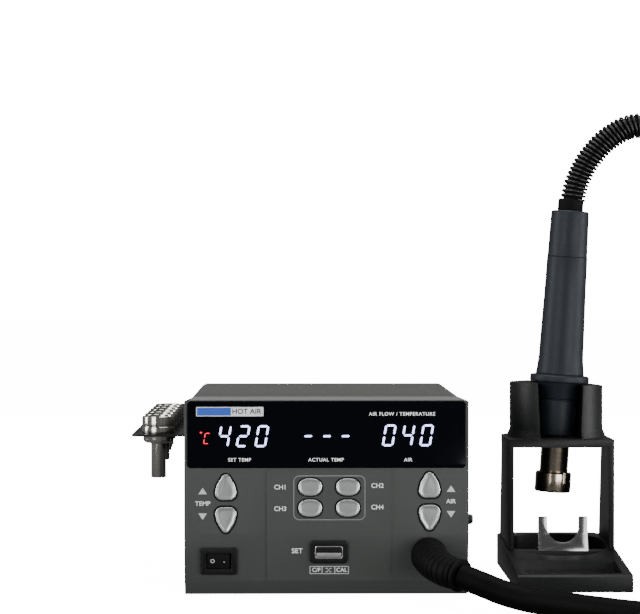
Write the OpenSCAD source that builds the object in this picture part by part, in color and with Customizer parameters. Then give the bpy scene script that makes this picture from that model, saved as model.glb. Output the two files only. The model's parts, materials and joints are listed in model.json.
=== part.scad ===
// Bench hot air station: control unit, side rack with nozzles, hose, hot air handle and its stand.
// Frame: +X to the right as seen from the front, +Y to the back, +Z up, Z = 0 on the bench.
// The origin is under the middle of everything but the hose and the pieces on it.

/* [Control unit] */
// Width of the front bezel
unit_w = 190; // [180:1:200]
// Height of the unit on its feet
unit_h = 135.6; // [132:0.2:140]
// Depth from the front face to the rear panel
unit_d = 230; // [220:1:245]
// Height of the rubber feet
foot_h = 4; // [3:0.5:6]
// Depth of the front bezel's side walls
bezel_d = 14; // [10:1:18]
// Wall of the plastic bezel
bezel_wall = 2.5; // [2:0.1:3]
// Sheet steel thickness of the tray, cover and rear panel
sheet_t = 1.2; // [0.8:0.1:1.5]
// Height of the kink under the keys, where the face starts to lean back
kink_z = 43.6; // [42:0.2:45]
// How far the lower face leans back at the bottom lip
lower_lean = 5; // [3:0.5:7]

/* [Front panel] */
// Display window width
window_w = 186.4; // [184:0.2:187]
// Display window height
window_h = 44.5; // [42:0.5:46]
// Travel of a key
key_travel = 1; // [0.6:0.1:1.2]
// Clearance round a key in its hole
key_gap = 0.35; // [0.25:0.05:0.5]
// Width of an arrow key
arrow_w = 14.2; // [13:0.1:15]
// Height of an arrow key
arrow_h = 17; // [16:0.1:18]
// Width of a channel key
channel_w = 15.7; // [14:0.1:17]
// Height of a channel key
channel_h = 11.5; // [10:0.1:12]
// Tilt of the rocker from the middle to either side
rocker_tilt = 7; // [4:0.5:8]

/* [Nozzle rack] */
// Length of the rack along the side of the case
rack_len = 180; // [170:1:185]
// How far the rack reaches out from the case
rack_reach = 36.9; // [34:0.1:40]
// Top face of the rack
rack_top = 107.4; // [105:0.1:110]
// Distance between the hanging nozzles
nozzle_pitch = 30; // [29:0.5:31]
// Outer diameter of a nozzle's collar
collar_d = 22.8; // [22:0.1:25]

/* [Handle] */
// Diameter of the grip at the joint line
grip_d = 29.6; // [26:0.1:32]
// Diameter of the hanging flange
flange_d = 43.2; // [40:0.1:44]
// Outer diameter of the heater tube
tube_d = 20.6; // [20:0.1:21.5]
// Outer diameter of the fitted nozzle
ring_d = 26.2; // [25.5:0.1:27]
// How far the handle leans to the right in its cradle, in degrees
handle_lean = 3.6; // [0:0.1:5]

/* [Stand] */
// Width of the stand's foot
stand_w = 78.8; // [74:0.2:80]
// Depth of the stand's foot
stand_d = 172; // [155:1:175]
// Top of the platform that carries the cradle
platform_z = 99.2; // [96:0.2:102]
// Top of the cradle
cradle_z = 139; // [136:0.5:142]

/* [Hose] */
// Outer diameter of the hose
hose_d = 16.5; // [15.5:0.1:17.5]
// Sides of the hose's surface
hose_sides = 12; // [8:1:12]

/* [Hidden] */
$fn = 64;
eps = 0.01;

// Places. The unit's own frame has X = 0 in the middle of its front, Y = 0 on the front face.
rack_out_x = -unit_w / 2 - 1.5 - rack_reach;
stand_x = 169.7;
frame_mid_x = (rack_out_x + stand_x + stand_w / 2) / 2;
front_reach = 2.3;
rear_reach = 3.6;
frame_mid_y = (unit_d + rear_reach - front_reach) / 2;
handle_at = [170.3, 147, 100];

body_z = foot_h;
bezel_z = 2.4;
lip_z = 11.6;
lip_lean = 10;
top_edge = [3, 2.3];
top_corner = [7.5, 3.2];
case_side = unit_w / 2 - 1.5;
case_top = unit_h - 1.4;
case_corner = 5.5;
lower_tilt = atan(lower_lean / (kink_z - lip_z));
window_z = 88.1;
window_t = 2;
panel_left = -40;
panel_right = 43.4;
panel_proud = 0.8;
face_t = bezel_wall;

temp_keys = [-67.2, 66.8, 62];
air_keys = [68.8, 68.2, 63.4];
channel_x = [-10.9, 14.3];
channel_z = [75.5, 61.4];
channel_at = [for (z = channel_z, x = channel_x) [x, z]];
key_proud = 1.5;
key_flange = 1.6;
key_back = face_t + 0.4 + key_flange;
set_at = [1.6, 32.2];
set_size = [25.5, 15.7];
set_key_size = [17.3, 7.4];
switch_at = [-72, 25.8];
switch_size = [24.5, 18.4];
rocker_size = [15, 10];
boot_at = [68.5, 29.8];
socket_d = 23;

board_t = 1.6;
display_board_y = 10.2;
board_y = 15;

tray_z = body_z;
floor_top = body_z + sheet_t;
rear_y = unit_d - sheet_t;
transformer_at = [-44, 160, floor_top];
blower_at = [40, 150, 46];
blower_r = 38;
blower_w = 34;
shaft_r = 2;
impeller_r = 27;
power_board_at = [-56, 76, floor_top + 8];
inlet_at = [-58, 40];
foot_xy = [for (x = [-76, 76], y = [34, unit_d - 26]) [x, y]];

rear_screw_x = 78;

rack_t = 1.5;
nozzle_x = -115.6;
nozzle_y0 = 60;
rack_y0 = 45;
rack_screw_y = [rack_y0 + 14, rack_y0 + rack_len - 14];
rack_hole_d = 21.8;
cup_d = 21.2;
collar_h = 12;
nozzle_pipes = [[10.4, 24], [12, 14], [11.6, 9.5], [8, 12], [6.5, 12], [5, 12]];

base_front_y = 25;
base_step_y = 107;
base_flat_y = 140;
base_front_h = 12.9;
base_step_h = 20.1;
base_back_h = 23;
base_back_r = 14;
base_lift = 1;
tray_y = [31, 72];
tray_w = 66;
tray_floor = 4.5;
tray_ledge = [2.5, 3.2];
well_r = 34.4;
well_y = [122, 151];
bridge_y = [104.2, 118];
bridge_top = 19.6;
foot_places = [[-28, base_front_y + 10], [28, base_front_y + 10],
    [-24, base_front_y + stand_d - 16], [24, base_front_y + stand_d - 16]];
stand_frame_w = 76;
frame_y0 = 107;
frame_top_d = 55;
frame_foot_d = 68;
platform_d = 77;
platform_back_r = 20;
post_w = 3.9;
post_d = 5;
side_t = 2.2;
platform_t = 5.7;
cradle_r = 33.9;
cradle_foot_r = 36.4;
cradle_fillet = 6;
cradle_slot_w = [29.4, 33];
cradle_x = handle_at[0] - stand_x;
fork_x = 1.3;
fork_w = 35.4;
fork_gap = 22.5;
fork_bend_z = 31;
fork_top = 44;
fork_seat_z = 25.5;
fork_t = 1.6;
fork_y = 104.5;

head_h = 39;
head_low_d = 30.2;
head_high_d = 35.9;
head_clear = 0.45;
grip_top_h = 164.4;
grip_joint_h = 130.4;
tube_bottom_h = -30;
ring_bottom_h = -41.6;
ring_top_h = -27.1;
tube_wall = 0.8;

// Route of the hose from its boot on the unit to the coil spring on the handle
hose_route = [
    [86, -46, 22], [100, -52, 17], [114, -57, 12], [130, -66, 8.8], [148, -82, 8.4], [168, -104, 8.4],
    [190, -124, 8.4], [216, -142, 8.4], [246, -154, 8.4], [280, -160, 8.4], [316, -156, 8.4],
    [348, -140, 8.4], [372, -114, 8.4], [388, -82, 8.4], [396, -46, 8.4], [398, -8, 8.6],
    [394, 28, 11], [386, 62, 19], [375, 94, 37], [364, 120, 66], [356, 138, 104], [352, 146, 148],
    [349, 147, 194], [341, 147, 238], [325, 147, 276], [301, 147, 304], [272, 147, 321],
    [246, 147, 326.5], [233, 147, 326.5]
];
// Route of the coil spring's axis, from the end of the coil down into the grip
guard_route = [
    [232, 147, 326.5], [228, 147, 326.3], [219.6, 147, 324], [207, 147, 316], [197.4, 147, 306], [190, 147, 295],
    [184.8, 147, 283], [182.1, 147, 271], [181, 147, 263.5]
];
// Route of the rubber boot, from its collar on the unit to where the hose leaves it
boot_route = [
    [68.5, -1, 29.6], [69, -9, 28.6], [70.4, -19, 27.2], [73.4, -29.5, 25.6], [78.6, -38.6, 23.8],
    [86.6, -46.6, 21.9]
];

// ---- Shapes used more than once ----

// Children move from the unit's own frame to the part's frame.
module at_origin() translate([-frame_mid_x, -frame_mid_y, 0]) children();

// Children stand at the middle of the stand.
module at_stand() at_origin() translate([stand_x, 0, 0]) children();

// Children run along the handle's axis, from the seat of its head.
module at_handle() at_origin() translate(handle_at) rotate([0, handle_lean, 0]) children();

// Children lie on the upright face, with X across, Y up and Z out of the face.
module on_face() rotate([90, 0, 0]) children();

// Children lie on the lower face at [x, z], with X across, Y up the face and Z out of it.
module on_lower_face(at) {
    y = lower_lean * (kink_z - at[1]) / (kink_z - lip_z);
    translate([at[0], y, at[1]]) rotate([90 + lower_tilt, 0, 0]) children();
}

// A plate with round corners, centred, growing up from Z = 0.
module round_plate(size, h, r) {
    linear_extrude(h) round_outline(size, r);
}

// Outline of a round-cornered rectangle, centred, as true arcs.
module round_outline(size, r) {
    square([size[0] - 2 * r, size[1]], center = true);
    square([size[0], size[1] - 2 * r], center = true);
    for (x = [-1, 1], y = [-1, 1])
        translate([x * (size[0] / 2 - r), y * (size[1] / 2 - r)]) circle(r);
}

// Outline of a key like a guitar pick, with its point up and its flat end at Y = 0.
module arrow_outline(grow = 0) {
    tip = 3;
    base = 4.6;
    hull() {
        translate([0, arrow_h - tip]) circle(tip + grow, $fn = 32);
        for (x = [-1, 1]) translate([x * (arrow_w / 2 - base), base]) circle(base + grow, $fn = 32);
        translate([0, arrow_h * 0.47]) circle(arrow_w / 2 - 0.9 + grow, $fn = 32);
    }
}

// Outline of an oval channel key.
module channel_outline(grow = 0) {
    round_outline([channel_w + 2 * grow, channel_h + 2 * grow], 5 + grow);
}

// Unit vector along v.
function unit_vec(v) = v / norm(v);

// Direction of a route at its point i.
function heading(route, i) =
    unit_vec(route[min(i + 1, len(route) - 1)] - route[max(i - 1, 0)]);

// Side vectors that follow a route without twisting.
function side_steps(route, i = 0, last = undef, out = []) =
    i == len(route) ? out :
    let (
        d = heading(route, i),
        ref = i == 0 ? (abs(d[2]) < 0.9 ? [0, 0, 1] : [0, 1, 0]) : last,
        side = unit_vec(ref - (ref * d) * d)
    )
    side_steps(route, i + 1, side, concat(out, [side]));

// Point of a smooth curve through a route, at parameter t from point i to point i + 1.
function curve_point(route, i, t) =
    let (
        n = len(route) - 1,
        a = route[i],
        b = route[i + 1],
        ta = (b - route[max(i - 1, 0)]) / (i == 0 ? 1 : 2),
        tb = (route[min(i + 2, n)] - a) / (i + 1 == n ? 1 : 2)
    )
    (2 * pow(t, 3) - 3 * t * t + 1) * a + (pow(t, 3) - 2 * t * t + t) * ta
        + (3 * t * t - 2 * pow(t, 3)) * b + (pow(t, 3) - t * t) * tb;

// A route with extra points on the smooth curve between its own.
function smooth_route(route, steps) =
    concat([for (i = [0 : len(route) - 2], k = [0 : steps - 1]) curve_point(route, i, k / steps)],
        [route[len(route) - 1]]);

// A closed tube of the given radii swept along a route.
module swept_tube(route, radii, sides) {
    count = len(route);
    across = side_steps(route);
    points = [for (i = [0 : count - 1])
        let (d = heading(route, i), u = across[i], v = cross(d, u))
        for (k = [0 : sides - 1])
            route[i] + radii[i] * (cos(360 * k / sides) * u + sin(360 * k / sides) * v)];
    walls = [for (i = [0 : count - 2], k = [0 : sides - 1])
        let (a = i * sides + k, b = i * sides + (k + 1) % sides)
        [a, a + sides, b + sides, b]];
    first = [for (k = [0 : sides - 1]) k];
    last = [for (k = [sides - 1 : -1 : 0]) (count - 1) * sides + k];
    polyhedron(points, concat(walls, [first, last]), convexity = 6);
}

// ---- Case ----

// Side view of the bezel, set in by a wall, as [depth, height].
function bezel_side(inset) = [
    [inset, kink_z], [inset, unit_h - top_edge[1] - inset * 0.5],
    [top_edge[0] + inset * 0.3, unit_h - inset], [bezel_d + (inset > 0 ? 1 : 0), unit_h - inset],
    [bezel_d + (inset > 0 ? 1 : 0), bezel_z + inset], [lip_lean + inset * 0.4, bezel_z + inset],
    [lower_lean + inset, lip_z]
];

// The bezel's outline from the front, set in by a wall.
module bezel_outline(inset) {
    side = unit_w / 2 - inset;
    top = unit_h - inset;
    polygon([[-side, bezel_z + inset], [side, bezel_z + inset], [side, top - top_corner[1] + inset * 0.3],
        [side - top_corner[0] + inset * 0.3, top], [-side + top_corner[0] - inset * 0.3, top],
        [-side, top - top_corner[1] + inset * 0.3]]);
}

// The bezel's solid shape, set in by a wall.
module bezel_shape(inset) {
    intersection() {
        translate([-unit_w / 2 + inset, 0, 0]) rotate([90, 0, 90])
            linear_extrude(unit_w - 2 * inset) polygon(bezel_side(inset));
        translate([0, bezel_d + 2, 0]) on_face() linear_extrude(bezel_d + 4) bezel_outline(inset);
    }
}

module front_bezel() {
    color("#505250") at_origin() difference() {
        union() {
            difference() {
                bezel_shape(0);
                bezel_shape(bezel_wall);
            }
            centre_panel();
            for (x = [-1, 1]) {
                bezel_boss([x * 88, 18], bezel_d - 6);
                bezel_boss([x * 88, 83.5], bezel_d - 2);
            }
        }
        window_recess();
        key_holes();
        on_lower_face(set_at) translate([0, 0, -8])
            round_plate([set_size[0] - 3, set_size[1] - 3], 11, 2);
        on_lower_face(switch_at) translate([0, 0, -8]) round_plate([21, 15], 11, 1);
        on_lower_face(boot_at) translate([0, 0, -8]) cylinder(d = 20, h = 14);
    }
}

// Raised centre panel with its lower end on the lower face.
module centre_panel() {
    w = panel_right - panel_left;
    top = window_z - 1.4;
    low = 12.2;
    y_low = lower_lean * (kink_z - low) / (kink_z - lip_z);
    translate([panel_left, 0, 0]) rotate([90, 0, 90]) linear_extrude(w)
        polygon([[-panel_proud, kink_z], [-panel_proud, top], [0.5, top], [0.5, kink_z],
            [y_low + 0.5, low], [y_low - panel_proud, low]]);
}

// Screw boss inside the bezel at [x, z], as long as h, for the screws from the tray and cover.
module bezel_boss(at, h) {
    translate([at[0], bezel_d, at[1]]) on_face() difference() {
        cylinder(r = 3.2, h = h);
        translate([0, 0, -1]) cylinder(r = 1.1, h = h - 3);
    }
}

module window_recess() {
    translate([0, -eps, window_z + window_h / 2]) rotate([-90, 0, 0])
        round_plate([window_w + 0.3, window_h + 0.3], window_t + eps, 3);
    translate([0, -1, window_z + window_h / 2]) rotate([-90, 0, 0])
        round_plate([window_w - 8, window_h - 8], 12, 2);
}

module key_holes() {
    for (keys = [temp_keys, air_keys]) {
        translate([keys[0], 0, keys[1]]) on_face() translate([0, 0, -8]) linear_extrude(12)
            arrow_outline(key_gap);
        translate([keys[0], 0, keys[2]]) on_face() translate([0, 0, -8]) linear_extrude(12)
            mirror([0, 1]) arrow_outline(key_gap);
    }
    for (at = channel_at) translate([at[0], 0, at[1]]) on_face() translate([0, 0, -8])
        linear_extrude(12) channel_outline(key_gap);
}

module base_tray() {
    color("#3c3e3d") at_origin() difference() {
        union() {
            translate([-case_side + sheet_t + 0.3, bezel_d + 0.4, tray_z])
                cube([2 * (case_side - sheet_t - 0.3), rear_y - bezel_d - 0.8, sheet_t]);
            for (x = [-1, 1]) translate([x * (case_side - sheet_t - 0.3 - sheet_t / 2), 0, 0])
                translate([-sheet_t / 2, bezel_d + 0.4, tray_z])
                    cube([sheet_t, rear_y - bezel_d - 0.8, 12]);
        }
        for (at = foot_xy) translate([at[0], at[1], tray_z - 1]) cylinder(r = 2.1, h = 4);
        for (k = [0 : 9]) translate([blower_at[0] - 27 + k * 6, blower_at[1] - 20, tray_z - 1])
            cube([2.4, 40, 4]);
        for (x = [-1, 1], y = [40, 200]) translate([x * (case_side - 6), y, tray_z + 8])
            rotate([0, 90, 0]) cylinder(r = 1.5, h = 12, center = true);
    }
}

// Outline of the cover from the front, set in by a wall.
module cover_outline(inset) {
    r = case_corner - inset;
    w = 2 * (case_side - inset);
    translate([-w / 2, tray_z]) square([w, case_top - inset - tray_z - r]);
    translate([-w / 2 + r, tray_z]) square([w - 2 * r, case_top - inset - tray_z]);
    for (x = [-1, 1]) translate([x * (w / 2 - r), case_top - inset - r]) circle(r);
}

module case_cover() {
    color("#5c5e5c") at_origin() difference() {
        translate([0, unit_d, 0]) on_face() linear_extrude(unit_d - bezel_d - 0.3) difference() {
            cover_outline(0);
            cover_outline(sheet_t);
            translate([-case_side + sheet_t, 0]) square([2 * (case_side - sheet_t), 20]);
        }
        for (x = [-1, 1], row = [0 : 1], k = [0 : 13])
            translate([x * case_side, 70 + k * 9, 42 + row * 30]) vent_slot();
        for (x = [-1, 1], y = [40, 200]) translate([x * case_side, y, tray_z + 8])
            rotate([0, 90, 0]) cylinder(r = 1.7, h = 8, center = true);
        for (x = [-1, 1], y = [36, 206]) translate([x * case_side, y, 50])
            rotate([0, 90, 0]) cylinder(r = 1.7, h = 8, center = true);
        for (y = rack_screw_y) translate([-case_side, y, rack_top - 8])
            rotate([0, 90, 0]) cylinder(r = 1.7, h = 8, center = true);
    }
}

// An upright cooling slot through the side of the cover.
module vent_slot() {
    cube([10, 2.6, 18], center = true);
    for (z = [-9, 9]) translate([0, 0, z]) rotate([0, 90, 0])
        cylinder(r = 1.3, h = 10, center = true);
}

module rear_panel() {
    w = 2 * (case_side - sheet_t - 0.3);
    top = case_top - sheet_t - 0.3;
    color("#3c3e3d") at_origin() difference() {
        translate([0, unit_d, 0]) on_face() translate([-w / 2, tray_z]) union() {
            cube([w, top - tray_z - 5, sheet_t]);
            translate([5, 0, 0]) cube([w - 10, top - tray_z, sheet_t]);
            for (x = [5, w - 5]) translate([x, top - tray_z - 5, 0]) cylinder(r = 5, h = sheet_t);
        }
        translate([inlet_at[0], unit_d, inlet_at[1]]) on_face() translate([0, 0, -1])
            linear_extrude(4) square([27.6, 20.4], center = true);
        translate([inlet_at[0], unit_d, inlet_at[1] + 21]) on_face() translate([0, 0, -1])
            linear_extrude(4) square([24.6, 12.6], center = true);
        for (row = [0 : 6], k = [0 : 8]) translate([4 + k * 8, unit_d + 1, 60 + row * 8])
            rotate([90, 0, 0]) cylinder(r = 2.4, h = 4);
        for (x = [-rear_screw_x, rear_screw_x]) translate([x, unit_d + 1, tray_z + 14])
            rotate([90, 0, 0]) cylinder(r = 1.7, h = 4);
    }
}

module rubber_feet() {
    color("#1c1c1d") at_origin() for (at = foot_xy) translate([at[0], at[1], 0]) {
        rotate_extrude() polygon([[0, 0], [7, 0], [8.4, foot_h], [0, foot_h]]);
        translate([0, 0, foot_h]) cylinder(r = 2, h = sheet_t + 1.6);
    }
}

module case_screws() {
    color("#8f9193") at_origin() for (x = [-1, 1]) {
        for (y = [40, 200]) translate([x * case_side, y, tray_z + 8])
            rotate([0, x * 90, 0]) cross_screw(3.2, 1.4, 1.4, 4);
        translate([x * rear_screw_x, unit_d, tray_z + 14]) rotate([-90, 0, 0]) cross_screw(3.2, 1.4, 1.4, 4);
    }
}

// Pan-head screw on Z: head above 0, shank below, with a cross recess.
module cross_screw(head_r, head_h, shank_r, shank_h) {
    difference() {
        union() {
            cylinder(r = head_r, h = head_h * 0.6);
            translate([0, 0, head_h * 0.6]) cylinder(r1 = head_r, r2 = head_r * 0.7, h = head_h * 0.4);
            translate([0, 0, -shank_h]) cylinder(r = shank_r, h = shank_h + eps);
        }
        for (a = [0, 90]) rotate(a) translate([0, 0, head_h])
            cube([head_r * 1.1, head_r * 0.22, head_h * 1.1], center = true);
    }
}

// Tall thumb screws hold the cover on the right side, and flat screws on the left.
module side_screws() {
    color("#202122") at_origin() for (y = [36, 206]) {
        translate([case_side, y, 50]) rotate([0, 90, 0]) union() {
            cylinder(r = 3.6, h = 5.6);
            translate([0, 0, 5.6]) cylinder(r1 = 3.6, r2 = 2.4, h = 1.6);
            translate([0, 0, -4]) cylinder(r = 1.5, h = 4 + eps);
        }
        translate([-case_side, y, 50]) rotate([0, -90, 0]) cross_screw(3.4, 1.4, 1.5, 4);
    }
}

// ---- Front panel ----

module display_window() {
    color("#0a0c14") at_origin() translate([0, window_t, window_z + window_h / 2]) on_face()
        round_plate([window_w, window_h], window_t - 0.2, 2.9);
}

module display_modules() {
    color("#e8e8e6") at_origin() for (x = [-55, 0, 54.6])
        translate([x, 0, 110]) on_face() translate([0, 0, -9.9]) difference() {
            linear_extrude(7.6) square([42, 22], center = true);
            for (k = [-1 : 1]) translate([k * 12.8, 0, 7.2]) linear_extrude(1)
                square([9, 15], center = true);
        }
}

module control_board() {
    color("#1f5a38") at_origin() {
        translate([-88, display_board_y, 92]) cube([176, board_t, 36]);
        difference() {
            translate([-86, board_y, 25]) cube([172, board_t, 61]);
            translate([boot_at[0], board_y - 1, boot_at[1] + 6]) rotate([-90, 0, 0])
                cylinder(r = 22, h = 4);
            translate([switch_at[0] - 16, board_y - 1, 20]) cube([32, 4, 27]);
        }
        translate([-3, board_y + board_t, 50]) cube([30, 2.2, 14]);
        translate([-50, board_y + board_t, 52]) cube([24, 9, 7]);
    }
}

// Places of the push switches behind the keys, as [x, z].
key_centres = concat(
    [[temp_keys[0], temp_keys[1] + 8], [temp_keys[0], temp_keys[2] - 8]],
    [[air_keys[0], air_keys[1] + 8], [air_keys[0], air_keys[2] - 8]],
    channel_at, [[set_at[0], set_at[1]]]);

module tact_switches() {
    plunger_end = key_back + key_travel + 1;
    color("#c9cbcc") at_origin() for (at = key_centres)
        translate([at[0], board_y - 0.05, at[1]]) on_face() {
            linear_extrude(3.5) square([6, 6], center = true);
            cylinder(r = 1.7, h = board_y - 0.05 - plunger_end);
        }
}

// A key on the face: cap through the hole with a stepped top edge, flange behind the wall.
module face_key(at, proud) {
    at_origin() translate([at[0], 0, at[1]]) on_face() {
        translate([0, 0, -key_back]) linear_extrude(key_back + proud - 0.4) children(0);
        translate([0, 0, proud - 0.4]) linear_extrude(0.4) children(1);
        translate([0, 0, -key_back]) linear_extrude(key_flange) children(2);
    }
}

module arrow_key(keys, up) {
    at = [keys[0], up ? keys[1] : keys[2]];
    flip = up ? [0, 0] : [0, 1];
    color("#c4c6c8") face_key(at, key_proud) {
        mirror(flip) arrow_outline(0);
        mirror(flip) arrow_outline(-0.5);
        mirror(flip) arrow_outline(1.2);
    }
}

module temp_up_key() arrow_key(temp_keys, true);
module temp_down_key() arrow_key(temp_keys, false);
module air_up_key() arrow_key(air_keys, true);
module air_down_key() arrow_key(air_keys, false);

module channel_key(i) {
    color("#c4c6c8") face_key(channel_at[i], key_proud + panel_proud) {
        channel_outline(0);
        channel_outline(-0.5);
        channel_outline(0.9);
    }
}

module channel_key_1() channel_key(0);
module channel_key_2() channel_key(1);
module channel_key_3() channel_key(2);
module channel_key_4() channel_key(3);

module set_surround() {
    hole = [set_key_size[0] + 2 * key_gap, set_key_size[1] + 2 * key_gap];
    color("#17181a") at_origin() on_lower_face(set_at) difference() {
        union() {
            translate([0, 0, panel_proud + 0.05]) round_plate(set_size, 1.8, 3);
            translate([0, 0, -5]) round_plate([set_size[0] - 3.4, set_size[1] - 3.4], 6.2, 1.8);
        }
        translate([0, 0, -6]) round_plate(hole, 10, 1.2);
        translate([0, 0, -6]) round_plate([hole[0] + 2.4, hole[1] + 2.4], 5, 1.2);
    }
}

module set_key() {
    color("#a9abad") at_origin() on_lower_face(set_at) translate([0, 0, -3.2]) {
        round_plate(set_key_size, 5.6, 1.1);
        round_plate([set_key_size[0] + 2, set_key_size[1] + 2], 1.6, 1.1);
    }
}

module switch_housing() {
    color("#141516") at_origin() on_lower_face(switch_at) difference() {
        union() {
            translate([0, 0, 0.05]) round_plate(switch_size, 2, 1.5);
            translate([0, 0, -13]) linear_extrude(13.1) square([20.4, 14.4], center = true);
            for (x = [-6, 6]) translate([x, 0, -21]) linear_extrude(8.1)
                square([0.8, 4.8], center = true);
        }
        translate([0, 0, -10]) linear_extrude(13)
            square([rocker_size[0] + 1.6, rocker_size[1] + 0.8], center = true);
    }
}

// The rocker's two faces meet in a shallow V; it turns about the upright axis through its middle.
module power_rocker() {
    half = rocker_size[0] / 2;
    color("#1b1c1e") at_origin() on_lower_face(switch_at) rotate([0, -rocker_tilt, 0]) difference() {
        translate([0, rocker_size[1] / 2, 0]) rotate([90, 0, 0]) linear_extrude(rocker_size[1])
            polygon([[-half, 2.4], [0, 1.3], [half, 2.4], [half, -2], [3, -7], [-3, -7], [-half, -2]]);
        translate([0, 6, -2]) rotate([90, 0, 0]) cylinder(r = 1.2, h = 12);
    }
}

module hose_socket() {
    color("#26282a") at_origin() on_lower_face(boot_at) difference() {
        union() {
            translate([0, 0, -14]) cylinder(d = 19.4, h = 14.6);
            translate([0, 0, 0.05]) cylinder(d = socket_d + 1, h = 1.4);
            translate([0, 0, -5.4]) cylinder(d = 25, h = 2.6);
        }
        translate([0, 0, -15]) cylinder(d = 13, h = 20);
    }
}

// ---- Inside ----

module transformer_core() {
    color("#6d6f72") at_origin() translate(transformer_at) difference() {
        union() {
            translate([-33, -28, 2]) cube([66, 56, 54]);
            translate([-44, -30, 0]) cube([88, 60, 2]);
        }
        for (x = [-1, 1]) translate([x * 14.5, 0, 29]) cube([13, 57, 34], center = true);
        for (x = [-1, 1], y = [-1, 1]) translate([x * 39, y * 22, -1]) cylinder(r = 2.2, h = 5);
    }
}

module transformer_coil() {
    color("#b98a3c") at_origin() translate(transformer_at) difference() {
        translate([0, 0, 29]) cube([41.4, 80, 33.4], center = true);
        translate([0, 0, 29]) cube([17, 57, 35], center = true);
    }
}

module power_board() {
    color("#1f5a38") at_origin() translate(power_board_at) difference() {
        translate([-30, -42, 0]) cube([60, 84, board_t]);
        for (x = [-1, 1], y = [-1, 1]) translate([x * 26, y * 38, -1]) cylinder(r = 1.6, h = 4);
    }
}

module board_standoffs() {
    color("#c9a648") at_origin() for (x = [-1, 1], y = [-1, 1])
        translate([power_board_at[0] + x * 26, power_board_at[1] + y * 38, floor_top]) {
            cylinder(r = 2.8, h = 8, $fn = 6);
            translate([0, 0, 8]) cylinder(r = 1.5, h = 3);
            translate([0, 0, 8 + board_t]) cylinder(r = 2.8, h = 1.6);
        }
}

module power_parts() {
    color("#2b3a55") at_origin() translate([power_board_at[0], power_board_at[1], power_board_at[2]
        + board_t]) {
        for (at = [[-18, -24, 9, 24], [4, -26, 6, 16], [16, -28, 5, 12]])
            translate([at[0], at[1], 0]) cylinder(r = at[2], h = at[3]);
        translate([-26, 4, 0]) cube([19, 15, 16]);
        translate([-26, 24, 0]) cube([12, 8, 10]);
        translate([20, 0, 0]) cube([6, 24, 9]);
    }
}

module heat_sink() {
    color("#b9bcbf") at_origin() translate([power_board_at[0] - 2, power_board_at[1] + 2,
        power_board_at[2] + board_t]) {
        cube([3, 34, 30]);
        for (k = [0 : 6]) translate([2.9, k * 5.3, 0]) cube([13, 1.8, 30]);
    }
}

// Scroll of the blower, which lies with its shaft along Y.
module blower_housing() {
    color("#1d1f21") at_origin() translate(blower_at) rotate([90, 0, 0]) difference() {
        union() {
            translate([0, 0, -blower_w / 2]) cylinder(r = blower_r, h = blower_w);
            translate([0, -blower_r, -blower_w / 2]) cube([blower_r + 6, 26, blower_w]);
            translate([-24, -blower_r - 2.8, -blower_w / 2]) cube([48, 6, blower_w]);
        }
        translate([0, 0, -blower_w / 2 + 2]) cylinder(r = blower_r - 2.4, h = blower_w);
        translate([0, -blower_r + 2.4, -blower_w / 2 + 2]) cube([blower_r + 10, 21.2, blower_w]);
        translate([0, 0, -blower_w / 2 - 1]) cylinder(r = 7, h = 4);
    }
}

module blower_cover() {
    color("#2a2c2f") at_origin() translate(blower_at) rotate([90, 0, 0])
        translate([0, 0, blower_w / 2 + 0.05]) difference() {
            union() {
                cylinder(r = blower_r, h = 2);
                translate([0, -blower_r, 0]) cube([blower_r + 6, 26, 2]);
            }
            translate([0, 0, -1]) cylinder(r = 17, h = 4);
        }
}

module blower_impeller() {
    color("#3a3d40") at_origin() translate(blower_at) rotate([90, 0, 0]) difference() {
        union() {
            translate([0, 0, -11]) cylinder(r = impeller_r, h = 1.6);
            translate([0, 0, -12]) cylinder(r = 6, h = 16);
            for (k = [0 : 23]) rotate(k * 15) translate([impeller_r - 8, -0.6, -9.5])
                rotate(18) cube([7, 1.2, 20]);
            translate([0, 0, 10]) rotate_extrude()
                translate([impeller_r - 8.2, 0]) square([8.2, 1.2]);
        }
        translate([0, 0, -13]) cylinder(r = shaft_r + 0.03, h = 18);
    }
}

module blower_motor() {
    color("#9a9da0") at_origin() translate(blower_at) rotate([90, 0, 0]) {
        translate([0, 0, -blower_w / 2 - 26]) cylinder(r = 15, h = 25.8);
        translate([0, 0, -blower_w / 2 - 0.3]) cylinder(r = 6.8, h = 3);
        translate([0, 0, -blower_w / 2 + 2]) cylinder(r = shaft_r, h = 17);
    }
}

// Duct from the blower's outlet at its right, forward to the hose socket.
module air_duct() {
    x = blower_at[0] + blower_r + 6.4;
    y = blower_at[1] - blower_w / 2;
    z = blower_at[2] - blower_r;
    color("#333538") at_origin() difference() {
        union() {
            translate([x, y - 10, z + 0.4]) cube([5, blower_w + 10, 25.2]);
            translate([60, y - 26, z + 0.4]) cube([x - 55, 22, 34]);
            translate([70, 18, z + 24]) rotate([-90, 0, 0]) cylinder(d = 18, h = y - 43.9);
        }
        translate([x - 1, y + 3, z + 3]) cube([4.6, blower_w - 6, 20]);
        translate([x - 1, y - 24, z + 3]) cube([4.6, 30, 20]);
        translate([62, y - 24, z + 3]) cube([x - 58.4, 18, 29]);
        translate([70, 17, z + 24]) rotate([-90, 0, 0]) cylinder(d = 14.4, h = y - 40);
    }
}

module mains_inlet() {
    color("#141516") at_origin() translate([inlet_at[0], unit_d, inlet_at[1]]) rotate([-90, 0, 0])
        difference() {
            union() {
                translate([0, 0, -22]) linear_extrude(22.1) square([27, 19.8], center = true);
                translate([0, 0, 0.05]) round_plate([50, 23], rear_reach - 0.55, 4);
            }
            translate([0, 0, -14]) linear_extrude(20)
                polygon([[-12, -8], [12, -8], [12, 3], [7, 8], [-7, 8], [-12, 3]]);
            for (x = [-1, 1]) translate([x * 20, 0, -1]) cylinder(r = 1.7, h = 6);
        }
}

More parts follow.
